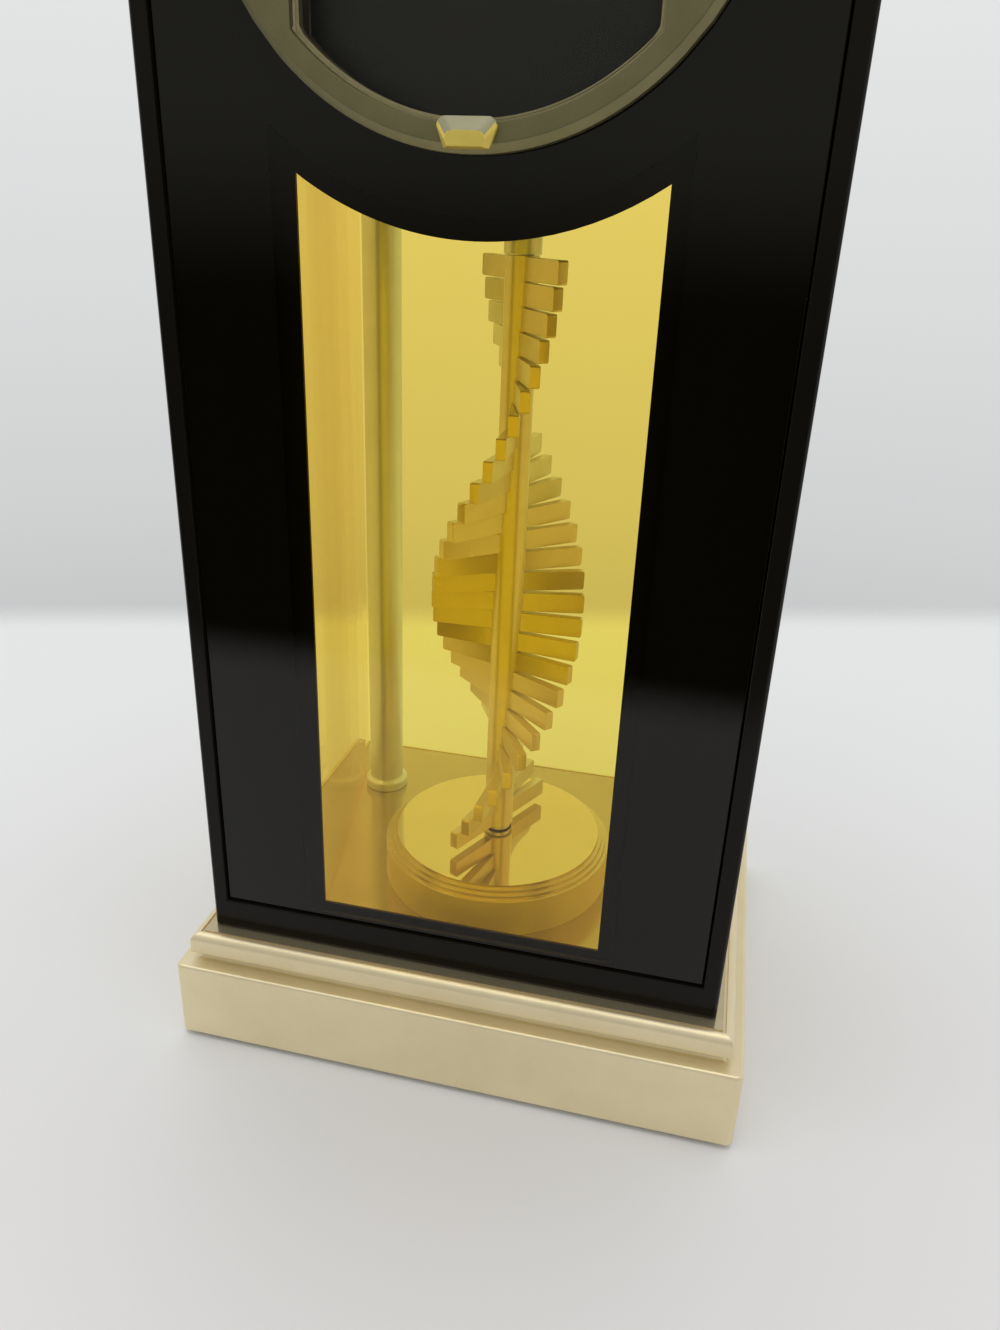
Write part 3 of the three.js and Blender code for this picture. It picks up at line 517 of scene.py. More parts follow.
@dataclass(frozen=True)
class Lacquer(Finish):
    """Dial lacquer over a face with fine level lines."""

    pitch: float = 0.55
    line_depth: float = 0.0015
    mark_size: float = 0.5
    mark_stretch: Place = (0.1, 1.0, 1.0)
    sheen_colour: Colour = (0.93, 0.95, 0.82)

    def inputs(self, shader: Shader) -> dict[str, object]:
        """Draws satin lacquer in which the level lines just show."""
        settings = {"wave_type": "BANDS", "bands_direction": "Z", "wave_profile": "SIN"}
        # At a scale of 1, the node's waves repeat every 2 pi / 20
        scale = 2 * math.pi / (20 * self.pitch * MM)
        waves = {"Vector": shader.position(), "Scale": scale, "Distortion": 0.0}
        lines = shader.node("ShaderNodeTexWave", settings, waves)
        lines = shader.node("ShaderNodeSeparateColor", {}, {0: lines})
        marks = shader.noise(shader.position(self.mark_stretch), self.mark_size)
        return {
            "Base Color": shader.blend(lines * 0.6 + marks * 0.4, self.colour, self.shade),
            "Roughness": 0.34 + lines * 0.08 + marks * 0.06,
            "Specular IOR Level": 0.24,
            "Specular Tint": self.sheen_colour,
            "Normal": shader.relief(lines, self.line_depth),
        }


@dataclass(frozen=True)
class Pane(Finish):
    """A clear or tinted sheet that lets lamps through."""

    ior: float = 1.46
    haze: float = 0.015
    drift_size: float = 30.0
    drift_stretch: Place = (1.0, 1.0, 0.4)
    wipe_size: float = 7.0
    wipe_stretch: Place = (1.0, 1.0, 0.25)

    def inputs(self, shader: Shader) -> dict[str, object]:
        """Draws a sheet whose tint and polish change a little from place to place."""
        drift = shader.noise(shader.position(self.drift_stretch), self.drift_size, detail=4.0)
        wipes = shader.noise(shader.position(self.wipe_stretch), self.wipe_size, detail=6.0, roughness=0.65)
        return {
            "Base Color": shader.blend(drift, self.colour, self.shade),
            "Roughness": wipes.smooth(0.5, 0.85) * self.haze,
            "IOR": self.ior,
            "Transmission Weight": 1.0,
        }

    def surface(self, shader: Shader) -> Signal:
        """Lets soft light and shadow rays straight through the sheet, in its colour."""
        sheet = super().surface(shader)
        through = shader.node("ShaderNodeBsdfTransparent", {}, {"Color": self.colour})
        lit = shader.mix_surfaces(shader.light_path("Is Diffuse Ray"), sheet, through)
        return shader.mix_surfaces(shader.light_path("Is Shadow Ray"), lit, through)


@dataclass(frozen=True)
class CutEdge(Finish):
    """The sawn and sanded edge of a tinted sheet."""

    mark_size: float = 0.9
    mark_stretch: Place = (3.0, 0.2, 3.0)
    mark_depth: float = 0.01

    def inputs(self, shader: Shader) -> dict[str, object]:
        """Draws a frosted edge with saw marks across it."""
        marks = shader.noise(shader.position(self.mark_stretch), self.mark_size, detail=4.0)
        return {
            "Base Color": shader.blend(marks, self.colour, self.shade),
            "Roughness": 0.4 + marks * 0.2,
            "Normal": shader.relief(marks, self.mark_depth),
        }


@dataclass(frozen=True)
class Felt(Finish):
    """Pressed felt."""

    fibre_size: float = 0.35
    fibre_stretch: Place = (1.0, 3.0, 1.0)
    nap: float = 0.08

    def inputs(self, shader: Shader) -> dict[str, object]:
        """Draws matted fibres with a soft nap."""
        place = shader.position(self.fibre_stretch)
        fibres = shader.noise(place, self.fibre_size, detail=6.0, roughness=0.75)
        return {
            "Base Color": shader.blend(fibres, self.colour, self.shade),
            "Roughness": 0.9 + fibres * 0.1,
            "Sheen Weight": 0.25,
            "Normal": shader.relief(fibres, self.nap),
        }


SATIN_GOLD = Metal("satin_gold", (0.86, 0.755, 0.5), (0.8, 0.695, 0.445), 0.42, metallic=0.75)
FLOOR_GOLD = Metal(
    "floor_gold", (0.64, 0.55, 0.35), (0.59, 0.5, 0.31), 0.16, metallic=0.74, spread=0.05, relief=0.0006
)
MIRROR_GOLD = Metal("mirror_gold", (0.88, 0.76, 0.49), (0.84, 0.72, 0.45), 0.06, spread=0.02, relief=0.0003)
TURNED_GOLD = Metal(
    "turned_gold",
    (0.77, 0.7, 0.47),
    (0.71, 0.64, 0.42),
    0.15,
    metallic=0.6,
    spread=0.04,
    stretch=(1.0, 1.0, 6.0),
)
# The pedestal's side: a pale, mostly diffuse copy of its gold, painted light that brightens that side.
LIT_DRUM_GOLD = Metal(
    "drum_gold_painted_light", (0.98, 0.93, 0.62), (0.93, 0.87, 0.57), 0.3, metallic=0.2, spread=0.05, cloud=9.0
)
# The dial ring's gold, darkened to a dull olive: painted shade.
SHADED_RING_GOLD = Metal("ring_gold_painted_shade", (0.25, 0.225, 0.11), (0.21, 0.19, 0.09), 0.4, metallic=0.75, cloud=9.0)
BRIGHT_GOLD = Metal("bright_gold", (0.84, 0.72, 0.36), (0.78, 0.65, 0.31), 0.4, metallic=0.7, cloud=7.0)
MARKER_GOLD = Metal("marker_gold", (0.92, 0.73, 0.16), (0.86, 0.66, 0.13), 0.45, metallic=0.6, cloud=3.0)
# The markers' sloping faces, a duller and darker copy of their gold: painted shade.
MARKER_SHADED_GOLD = Metal("marker_gold_painted_shade", (0.45, 0.43, 0.27), (0.4, 0.38, 0.24), 0.5, metallic=0.6, cloud=3.0)
BLADE_GOLD = Metal(
    "blade_gold",
    (0.85, 0.82, 0.7),
    (0.79, 0.75, 0.63),
    0.26,
    metallic=0.45,
    spread=0.06,
    cloud=5.0,
    stretch=(1.0, 1.0, 6.0),
)
HUB_GOLD = Metal("hub_gold", (0.92, 0.92, 0.92), (0.86, 0.86, 0.86), 0.3, metallic=0.35, cloud=5.0)
SILVER = Metal("silver_plate", (0.8, 0.86, 0.95), (0.74, 0.8, 0.88), 0.34, metallic=0.6, cloud=8.0)
STEEL = Metal(
    "turned_steel", (0.62, 0.62, 0.62), (0.5, 0.5, 0.51), 0.28, cloud=6.0, stretch=(1.0, 1.0, 9.0)
)
SCREW_STEEL = Metal("screw_steel", (0.42, 0.42, 0.43), (0.3, 0.3, 0.31), 0.3, cloud=2.0, grain=0.15)
BLACK_GLOSS = Gloss("black_gloss_enamel", (0.004, 0.004, 0.0045), (0.007, 0.007, 0.008))
PANEL_BLACK = Gloss(
    "black_panel_gloss",
    (0.0023, 0.0018, 0.0005),
    (0.0028, 0.0023, 0.0007),
    0.005,
    1.365,
    smear=0.015,
    peel=0.0001,
)
FRAME_BLACK = Gloss("black_frame_enamel", (0.0055, 0.0045, 0.003), (0.008, 0.0065, 0.0045), 0.14, 1.22)
BLACK_PAINT = Ink("black_backing", (0.0025, 0.0024, 0.0022), (0.004, 0.0038, 0.0035))
BACKING_CARD = Ink("brown_backing_card", (0.085, 0.07, 0.045), (0.07, 0.058, 0.037))
BLACK_PLASTIC = Moulded("black_grained_plastic", (0.012, 0.012, 0.013), (0.019, 0.019, 0.021), 0.42)
GREY_PLASTIC = Moulded("grey_movement_plastic", (0.07, 0.072, 0.075), (0.09, 0.092, 0.096), 0.4)
DIAL_BLACK = Lacquer("dial_lacquer", (0.0035, 0.0035, 0.0028), (0.0055, 0.0055, 0.0042))
FELT = Felt("black_felt", (0.008, 0.009, 0.009), (0.024, 0.025, 0.025))
AMBER = Pane("amber_sheet", (1.0, 0.83, 0.165), (0.99, 0.815, 0.15), ior=1.365)
AMBER_EDGE = CutEdge("amber_cut_edge", (0.02, 0.013, 0.004), (0.014, 0.009, 0.003))
BRONZE = Pane("bronze_sheet", (0.935, 0.815, 0.655), (0.92, 0.795, 0.63), ior=1.08)
CRYSTAL = Pane("dial_glass", (0.985, 0.99, 0.985), (0.975, 0.98, 0.975), ior=1.09, haze=0.01)
SLEEVE = Moulded("cell_sleeve_film", (0.15, 0.16, 0.175), (0.19, 0.2, 0.215), 0.22, grain=4.0, relief=0.004)
WASHER = Moulded("cell_end_ring", (0.5, 0.5, 0.48), (0.42, 0.42, 0.4), 0.45)


# Shapes


def arc(centre: Point, radius: float, start: float, end: float, steps: int) -> list[Point]:
    """Points along an arc.

    Args:
        centre: The middle of the arc.
        radius: Its radius.
        start: The first angle in degrees.
        end: The last angle in degrees.
        steps: How many chords it has.

    Returns:
        The points, both ends included.
    """
    angles = [math.radians(start + (end - start) * i / steps) for i in range(steps + 1)]
    return [(centre[0] + radius * math.cos(a), centre[1] + radius * math.sin(a)) for a in angles]


class Draft:
    """A mesh in the making, in millimetres."""

    def __init__(self, mesh: bmesh.types.BMesh | None = None) -> None:
        """Starts empty, or from a mesh."""
        self.mesh = mesh or bmesh.new()

    @classmethod
    def from_node(cls, node: bpy.types.Object) -> "Draft":
        """Copies a CAD node, with its triangles merged into plain faces.

        Args:
            node: The CAD object.

        Returns:
            The copy.
        """
        mesh = bmesh.new()
        mesh.from_mesh(node.data)
        bmesh.ops.scale(mesh, vec=(1 / MM,) * 3, verts=mesh.verts)
        for face in mesh.faces:
            face.material_index = 0
        return cls(mesh).merged(CAD_JOIN_DISTANCE, CAD_FLAT_ANGLE)

    def loft(self, sections: Sequence[Sequence[Place]], ring: bool = False) -> "Draft":
        """Joins sections of equal count by a skin.

        Args:
            sections: The sections in order, each a closed loop of points.
            ring: True to join the last section to the first, instead of capping both ends.

        Returns:
            This draft.
        """
        loops = [[self.mesh.verts.new(point) for point in section] for section in sections]
        following = loops[1:] + loops[:1] if ring else loops[1:]
        for low, high in zip(loops, following):
            for i in range(len(low)):
                j = (i + 1) % len(low)
                self.mesh.faces.new((low[i], low[j], high[j], high[i]))
        if not ring:
            self.mesh.faces.new(loops[0][::-1])
            self.mesh.faces.new(loops[-1])
        return self

    def turned(
        self,
        profile: Sequence[Point],
        axis: Axis = Axis.UP,
        centre: Place = (0.0, 0.0, 0.0),
        steps: int = 48,
        material: Callable[[float, float], int] | None = None,
    ) -> "Draft":
        """Turns a profile about an axis.

        Args:
            profile: Points as radius and height along the axis.
            axis: The direction of the axis.
            centre: A point on the axis, from which heights count.
            steps: How many sides a full turn has.
            material: Gives a face's material number from its radius and height.

        Returns:
            This draft.
        """
        sections = []
        for radius, height in profile:
            section = []
            for step in range(steps):
                angle = 2 * math.pi * step / steps
                across, along = radius * math.cos(angle), radius * math.sin(angle)
                offset = {
                    Axis.UP: (across, along, height),
                    Axis.BACKWARDS: (across, height, along),
                    Axis.SIDEWAYS: (height, across, along),
                }[axis]
                section.append(tuple(c + o for c, o in zip(centre, offset)))
            sections.append(section)
        before = len(self.mesh.faces)
        self.loft(sections)
        if material is not None:
            self.mesh.faces.ensure_lookup_table()
            for face in self.mesh.faces[before:]:
                middle = face.calc_center_median() - Vector(centre)
                height = {Axis.UP: middle.z, Axis.BACKWARDS: middle.y, Axis.SIDEWAYS: middle.x}[axis]
                radius = math.sqrt(max(middle.length_squared - height * height, 0.0))
                face.material_index = material(radius, height)
        return self

    def sheet(self, loops: Sequence[Sequence[Place]], material: int) -> "Draft":
        """Fills a flat outline, less its holes.

        Args:
            loops: The outline and then the holes.
            material: The material number of the new faces.

        Returns:
            This draft.
        """
        points = [[Vector(point) for point in loop] for loop in loops]
        flat = [self.mesh.verts.new(point) for loop in points for point in loop]
        for triangle in tessellate_polygon(points):
            face = self.mesh.faces.new([flat[i] for i in triangle])
            face.material_index = material
        return self

    def merged(self, distance: float = JOIN_DISTANCE, flat: float = FLAT_ANGLE) -> "Draft":
        """Joins points that lie on each other, and flat triangles into plain faces.

        Args:
            distance: How near to each other points are joined.
            flat: The angle in degrees up to which faces are joined.

        Returns:
            This draft.
        """
        bmesh.ops.remove_doubles(self.mesh, verts=self.mesh.verts, dist=distance)
        bmesh.ops.dissolve_limit(
            self.mesh,
            angle_limit=math.radians(flat),
            use_dissolve_boundaries=False,
            verts=self.mesh.verts,
            edges=self.mesh.edges,
            delimit={"MATERIAL"},
        )
        return self

    def softened(self, width: float, above: float = 28.0, segments: int = 2) -> "Draft":
        """Rounds the sharp edges.

        Args:
            width: How far back from the edge the rounding starts.
            above: The angle in degrees from which an edge is sharp.
            segments: How many chords the rounding has.

        Returns:
            This draft.
        """
        bmesh.ops.recalc_face_normals(self.mesh, faces=self.mesh.faces)
        limit = math.radians(above)
        sharp = [e for e in self.mesh.edges if len(e.link_faces) == 2 and e.calc_face_angle(0.0) > limit]
        bmesh.ops.bevel(
            self.mesh,
            geom=sharp,
            offset=width,
            offset_type="OFFSET",
            segments=segments,
            profile=0.5,
            affect="EDGES",
            clamp_overlap=True,
            material=-1,
        )
        return self

    def moved(self, matrix: Matrix) -> "Draft":
        """Moves the whole draft."""
        self.mesh.transform(matrix)
        return self

    def copy(self) -> "Draft":
        """Another draft of the same shape."""
        return Draft(self.mesh.copy())

    def stored(self, name: str) -> bpy.types.Mesh:
        """Writes the draft as a smooth-shaded mesh in metres.

        Args:
            name: The mesh's name.

        Returns:
            The mesh.
        """
        bmesh.ops.recalc_face_normals(self.mesh, faces=self.mesh.faces)
        bmesh.ops.scale(self.mesh, vec=(MM,) * 3, verts=self.mesh.verts)
        data = bpy.data.meshes.new(name)
        self.mesh.to_mesh(data)
        self.mesh.free()
        data.polygons.foreach_set("use_smooth", [True] * len(data.polygons))
        data.set_sharp_from_angle(angle=math.radians(SHADING_ANGLE))
        return data

    def combined(self, tool: "Draft", operation: str) -> "Draft":
        """Joins or cuts with another closed draft.

        Args:
            tool: The other draft, which is used up.
            operation: UNION or DIFFERENCE.

        Returns:
            The new draft.
        """
        pair = []
        for draft in (self, tool):
            data = bpy.data.meshes.new("workpiece")
            bmesh.ops.recalc_face_normals(draft.mesh, faces=draft.mesh.faces)
            draft.mesh.to_mesh(data)
            draft.mesh.free()
            pair.append(bpy.data.objects.new("workpiece", data))
            bpy.context.scene.collection.objects.link(pair[-1])
        step = pair[0].modifiers.new("join", "BOOLEAN")
        step.operation = operation
        step.solver = "EXACT"
        step.object = pair[1]
        seen = pair[0].evaluated_get(bpy.context.evaluated_depsgraph_get())
        result = bmesh.new()
        result.from_mesh(seen.to_mesh())
        seen.to_mesh_clear()
        for item in pair:
            data = item.data
            bpy.data.objects.remove(item)
            bpy.data.meshes.remove(data)
        return Draft(result).merged()


class Workshop:
    """Gives CAD nodes their finish and sets new pieces on the frame."""

    def __init__(self, frame: dict[str, object]) -> None:
        """Keeps the frame's nodes."""
        self.nodes: dict[str, bpy.types.Object] = frame["nodes"]

    def dress(self, node: str, finish: Finish) -> None:
        """Gives a CAD node that stays its finish.

        Args:
            node: The node's name.
            finish: Its finish.
        """
        target = self.nodes[node]
        for place in target.material_slots:
            place.material = finish.material()
        LOG.info("%s keeps its shape, in %s", node, finish.name)

    def place(
        self,
        name: str,
        draft: Draft,
        finishes: Sequence[Finish],
        body: Body,
        slot: Slot,
        replaces: Iterable[str] = (),
        even: bool = True,
    ) -> None:
        """Sets a new piece on the frame.

        Args:
            name: The piece's name.
            draft: Its shape.
            finishes: Its finishes, by material number.
            body: The body that it rides on.
            slot: The record's material slot that it belongs to. It is not used.
            replaces: The CAD nodes that it stands for.
            even: True to weight its shading towards its large faces.
        """
        piece = bpy.data.objects.new(name, draft.stored(name))
        bpy.context.scene.collection.objects.link(piece)
        for finish in finishes:
            piece.data.materials.append(finish.material())
        if even:
            shading = piece.modifiers.new("even_shading", "WEIGHTED_NORMAL")
            shading.keep_sharp = True
        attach(piece, body.value)
        replaced = list(replaces)
        if replaced:
            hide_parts(*replaced)
        LOG.info("%s: %d faces, %s", name, len(piece.data.polygons), finishes[0].name)

    def ease(self, node: str, name: str, finish: Finish, slot: Slot, width: float) -> None:
        """Puts a copy with rounded edges in a CAD node's place.

        Args:
            node: The node's name.
            name: The new piece's name.
            finish: Its finish.
            slot: The record's material slot.
            width: The width of the rounding.
        """
        source = self.nodes[node]
        draft = Draft.from_node(source).softened(width)
        self.place(name, draft, [finish], Body(source["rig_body"]), slot, [node])


# Sub-assemblies


@dataclass
class Mouldings:
    """The stepped base, the cap in the same moulding, and the felt under the base."""

    width: float = 121.0
    depth: float = 102.0
    corner: float = 1.6
    pad: float = 1.0
    base_slab: float = 18.4
    cap_slab: float = 9.0
    cap_low: float = 278.0
    groove_height: float = 1.7
    groove_inset: float = 4.3
    bead_height: float = 4.9
    bead_inset: float = 2.6
    bead_round: float = 1.8
    score_width: float = 0.6
    score_depth: float = 0.5
    score_slope: float = 0.05
    edge: float = 0.7
    least_corner: float = 0.3
    corner_steps: int = 6
    foot_steps: int = 4
    edge_steps: int = 5
    round_steps: int = 12

    def build(self, workshop: Workshop) -> None:
        """Makes both mouldings and dresses the felt."""
        base = self.moulding(self.profile(self.pad, self.base_slab), MouldingFace.FLOOR)
        finishes = [SATIN_GOLD, FLOOR_GOLD]
        workshop.place("base_moulding", base, finishes, Body.CASE, Slot.GOLD, ["base"])
        height = self.cap_slab + self.groove_height + self.bead_height
        top = self.cap_low + height
        outline = [(inset, top - z) for inset, z in reversed(self.profile(0.0, self.cap_slab))]
        cap = self.moulding(outline, MouldingFace.OUTSIDE)
        workshop.place("cap_moulding", cap, [SATIN_GOLD], Body.CASE, Slot.GOLD, ["top_cap"])
        workshop.dress("base_pad", FELT)

    def profile(self, bottom: float, slab: float) -> list[Point]:
        """The outline of the moulding, from its slab to the fine groove inside its bead.

        Args:
            bottom: The height of the slab's outer face.
            slab: The height of the slab.

        Returns:
            Its points as inset and height.
        """
        edge, cove = self.edge, self.groove_height / 2
        slab_top = bottom + slab
        groove_top = slab_top + self.groove_height
        bead_top = groove_top + self.bead_height
        groove_middle = (self.groove_inset - cove, slab_top + cove)
        lip = self.bead_inset + edge
        shoulder = self.bead_inset + self.bead_round
        return [
            *arc((edge, bottom + edge), edge, 270, 180, self.foot_steps),
            *arc((edge, slab_top - edge), edge, 180, 90, self.edge_steps),
            *arc(groove_middle, cove, -90, 90, self.round_steps),
            *arc((lip, groove_top + edge), edge, 270, 180, self.edge_steps),
            *arc((shoulder, bead_top - self.bead_round), self.bead_round, 180, 90, self.round_steps),
            (shoulder + self.score_slope, bead_top - self.score_depth),
            (shoulder + self.score_width - self.score_slope, bead_top - self.score_depth),
            (shoulder + self.score_width, bead_top),
        ]

    def section(self, inset: float, height: float) -> list[Place]:
        """One level of the moulding, a rectangle with rounded corners.

        Args:
            inset: How far it lies inside the slab.
            height: Its height.

        Returns:
            Its points.
        """
        radius = max(self.corner - inset, self.least_corner)
        across = self.width / 2 - inset - radius
        along = self.depth / 2 - inset - radius
        points: list[Place] = []
        for quarter, (x, y) in enumerate(((1, 1), (-1, 1), (-1, -1), (1, -1))):
            turn = quarter * 90
            for px, py in arc((x * across, y * along), radius, turn, turn + 90, self.corner_steps):
                points.append((px, py, height))
        return points

    def moulding(self, profile: Sequence[Point], top: MouldingFace) -> Draft:
        """Lofts the levels of a profile.

        Args:
            profile: The outline as inset and height.
            top: The material number of the uppermost face.

        Returns:
            The moulding.
        """
        draft = Draft().loft([self.section(inset, height) for inset, height in profile])
        draft.mesh.faces.ensure_lookup_table()
        draft.mesh.faces[-1].material_index = top
        return draft


@dataclass
class Front:
    """The black frame, the amber sheet with its printed back, and the black layer behind it."""

    half_width: float = 50.4
    low: float = 33.5
    high: float = 270.5
    front: float = -43.0
    thickness: float = 3.0
    edge: float = 0.14
    hole_radius: float = 36.7
    hole_half_flat: float = 26.3
    hole_steps: int = 28
    window_half_width: float = 29.25
    window_sill: float = 35.5
    window_arc: float = 52.8
    window_steps: int = 36
    clear_margin: float = 3.3
    clear_sill: float = 1.2
    frame_edge: float = 0.25
    lip_high: float = 35.2
    lip_front: float = -39.3
    lip_back: float = -37.2
    lip_drop_front: float = 0.35
    lip_drop_back: float = 2.15

    def build(self, workshop: Workshop) -> None:
        """Makes the sheet and dresses what holds it."""
        frame = self.frame(workshop.nodes["front_frame"])
        finishes, replaced = [FRAME_BLACK], ["front_frame"]
        workshop.place("front_frame_enamelled", frame, finishes, Body.CASE, Slot.BLACK_GLOSS, replaced)
        finishes, replaced = [AMBER, BLACK_PAINT, AMBER_EDGE, PANEL_BLACK], ["front_panel"]
        workshop.place("front_sheet", self.sheet(), finishes, Body.CASE, Slot.AMBER, replaced, even=False)
        workshop.dress("front_mask", BACKING_CARD)

    def frame(self, node: bpy.types.Object) -> Draft:
        """Copies the CAD frame, with the lower lip bevelled so that the floor shows down to the sill.

        Args:
            node: The CAD object.

        Returns:
            The frame with rounded edges.
        """
        draft = Draft.from_node(node)
        for vertex in draft.mesh.verts:
            place = vertex.co
            if abs(place.z - self.lip_high) < SAME_PLACE and abs(place.x) < self.half_width:
                share = (place.y - self.lip_front) / (self.lip_back - self.lip_front)
                place.z -= self.lip_drop_front + (self.lip_drop_back - self.lip_drop_front) * share
        return draft.softened(self.frame_edge)

    def outline(self, inset: float, depth: float) -> list[Place]:
        """The sheet's outer edge at one depth."""
        x, low, high = self.half_width - inset, self.low + inset, self.high - inset
        return [(-x, depth, low), (x, depth, low), (x, depth, high), (-x, depth, high)]

    def dial_hole(self, depth: float) -> list[Place]:
        """The edge of the hole for the dial, a circle with straight sides."""
        corner = math.degrees(math.acos(self.hole_half_flat / self.hole_radius))
        middle = (0.0, DIAL_HEIGHT)
        points = arc(middle, self.hole_radius, corner, 180 - corner, self.hole_steps)
        points += arc(middle, self.hole_radius, 180 + corner, 360 - corner, self.hole_steps)
        return [(x, depth, z) for x, z in points]

    def window(self, depth: float, margin: float = 0.0) -> list[Place]:
        """The edge of the window, with a top that follows the dial.

        Args:
            depth: Where the edge lies.
            margin: How far the edge lies outside the opening at its sides and top. At the sill it is
                clear_sill at most.

        Returns:
            The points.
        """
        half, radius = self.window_half_width + margin, self.window_arc - margin
        sill = self.window_sill - min(margin, self.clear_sill)
        reach = math.degrees(math.acos(half / radius))
        top = arc((0.0, DIAL_HEIGHT), radius, -reach, -180 + reach, self.window_steps)
        return [(x, depth, z) for x, z in [(-half, sill), (half, sill), *top]]

    def sheet(self) -> Draft:
        """Draws the amber sheet, with cut edges and a printed back.

        Its face is clear in the window and a little way round it. Beyond that it is black gloss, as
        the printed back makes it look.

        Returns:
            The sheet.
        """
        front, back = self.front, self.front + self.thickness
        shoulder = front + self.edge
        draft = Draft()
        clear = self.window(front, self.clear_margin)
        draft.sheet([self.outline(self.edge, front), self.dial_hole(front), clear], SheetFace.GLOSS)
        draft.sheet([clear], SheetFace.CLEAR)
        draft.sheet([self.outline(0.0, back), self.dial_hole(back), self.window(back)], SheetFace.PRINTED)
        draft.sheet([self.window(back)], SheetFace.CLEAR)
        self.wall(draft, self.outline(self.edge, front), self.outline(0.0, shoulder))
        self.wall(draft, self.outline(0.0, shoulder), self.outline(0.0, back))
        self.wall(draft, self.dial_hole(front), self.dial_hole(back))
        return draft.merged()

    @staticmethod
    def wall(draft: Draft, first: Sequence[Place], second: Sequence[Place]) -> None:
        """Joins two loops by a strip of cut edge.

        Args:
            draft: The draft that the strip is added to.
            first: One loop.
            second: The other loop, of the same count.
        """
        for i in range(len(first)):
            j = (i + 1) % len(first)
            points = (first[i], first[j], second[j], second[i])
            face = draft.mesh.faces.new([draft.mesh.verts.new(point) for point in points])
            face.material_index = SheetFace.CUT


@dataclass
class Dial:
    """The dial face, its gold ring with four block markers, the glass and the hands."""

    radius: float = 41.1
    inner_radius: float = 37.2
    half_flat: float = 26.8
    ledge: float = 0.8
    bevel: float = 1.2
    front: float = -46.2
    back: float = -43.0
    seat: float = -44.5
    ring_edge: float = 0.14
    marker_edge: float = 0.1
    marker_width: float = 10.0
    marker_outer_width: float = 6.8
    marker_inner: float = 36.3
    marker_outer: float = 40.5
    marker_back: float = -46.3
    marker_side: float = 0.9
    marker_high: float = 2.0
    marker_bevel: float = 0.8
    marker_slope: float = 1.9
    marker_round: float = 1.3
    marker_end_share: float = 0.3
    marker_steps: int = 6
    slope_limit: float = -0.25
    sharp_angle: float = 24.0
    hour_angle: float = 30.0
    hand_edge: float = 0.08
    arc_steps: int = 44
    flat_steps: int = 12

    def build(self, workshop: Workshop) -> None:
        """Makes the ring and dresses face, glass, markers and hands."""
        workshop.dress("dial_plate", DIAL_BLACK)
        ring = self.ring().softened(self.ring_edge, self.sharp_angle)
        workshop.place("dial_ring", ring, [SHADED_RING_GOLD], Body.CASE, Slot.GOLD, ["chapter_ring"])
        workshop.dress("dial_crystal", CRYSTAL)
        for hour in (12, 3, 6, 9):
            name, draft, finishes = f"marker_{hour}", self.marker(hour), [MARKER_GOLD, MARKER_SHADED_GOLD]
            workshop.place(f"{name}_block", draft, finishes, Body.CASE, Slot.POLISHED_GOLD, [name])
        for name in ("hour_hand", "minute_hand", "hand_nut"):
            workshop.ease(name, f"{name}_polished", BRIGHT_GOLD, Slot.GOLD, self.hand_edge)

    def angles(self) -> list[float]:
        """The angles of the ring's points, which meet the corners of its opening exactly."""
        corner = math.degrees(math.acos(self.half_flat / self.inner_radius))
        spans = [
            (-corner, corner, self.flat_steps),
            (corner, 180 - corner, self.arc_steps),
            (180 - corner, 180 + corner, self.flat_steps),
            (180 + corner, 360 - corner, self.arc_steps),
        ]
        return [start + (end - start) * i / steps for start, end, steps in spans for i in range(steps)]

    def circle(self, radius: float, depth: float) -> list[Place]:
        """A round loop about the dial's middle."""
        turns = [math.radians(angle) for angle in self.angles()]
        return [(radius * math.cos(a), depth, DIAL_HEIGHT + radius * math.sin(a)) for a in turns]

    def opening(self, inset: float, depth: float) -> list[Place]:
        """A loop of the opening, round above and below and straight at the sides."""
        flat, radius = self.half_flat - inset, self.inner_radius - inset
        points: list[Place] = []
        for angle in self.angles():
            across, up = math.cos(math.radians(angle)), math.sin(math.radians(angle))
            reach = radius if abs(across) * radius < flat else flat / abs(across)
            points.append((reach * across, depth, DIAL_HEIGHT + reach * up))
        return points

    def ring(self) -> Draft:
        """Draws the ring with its outer bevel and the seat of the glass."""
        return Draft().loft(
            [
                self.circle(self.radius, self.back),
                self.circle(self.radius, self.front + self.bevel),
                self.circle(self.radius - self.bevel, self.front),
                self.opening(0.0, self.front),
                self.opening(0.0, self.seat),
                self.opening(self.ledge, self.seat),
                self.opening(self.ledge, self.back),
            ],
            ring=True,
        )

    def marker(self, hour: int) -> Draft:
        """Draws one block marker, with round corners and a long slope towards the dial's middle.

        Args:
            hour: The hour that it marks.

        Returns:
            The marker.
        """
        bend, levels = self.marker_round, []
        for height, side, slope in (
            (0.0, 0.0, 0.0),
            (self.marker_side, 0.0, 0.0),
            (self.marker_high, self.marker_bevel, self.marker_slope),
        ):
            low, high = self.marker_inner + slope + bend, self.marker_outer - side * self.marker_end_share
            share = (self.marker_outer - low) / (self.marker_outer - self.marker_inner)
            narrow = self.marker_outer_width / 2 - side
            wide = narrow + (self.marker_width - self.marker_outer_width) / 2 * share
            corner = arc((wide - bend, low), bend, 360, 270, self.marker_steps)
            outline = [(narrow, high), *corner, *((-x, z) for x, z in reversed(corner)), (-narrow, high)]
            levels.append([(x, self.marker_back - height, z) for x, z in outline])
        draft = Draft().loft(levels).softened(self.marker_edge, self.sharp_angle)
        draft.mesh.normal_update()
        # Faces that slope towards the dial's middle get the darker copy of the gold, as painted shade.
        for face in draft.mesh.faces:
            sloping = face.normal.z < self.slope_limit
            face.material_index = MarkerFace.SHADED_SLOPE if sloping else MarkerFace.BRIGHT
        turn = Matrix.Rotation(math.radians(hour * self.hour_angle), 4, "Y")
        return draft.moved(Matrix.Translation((0.0, 0.0, DIAL_HEIGHT)) @ turn)


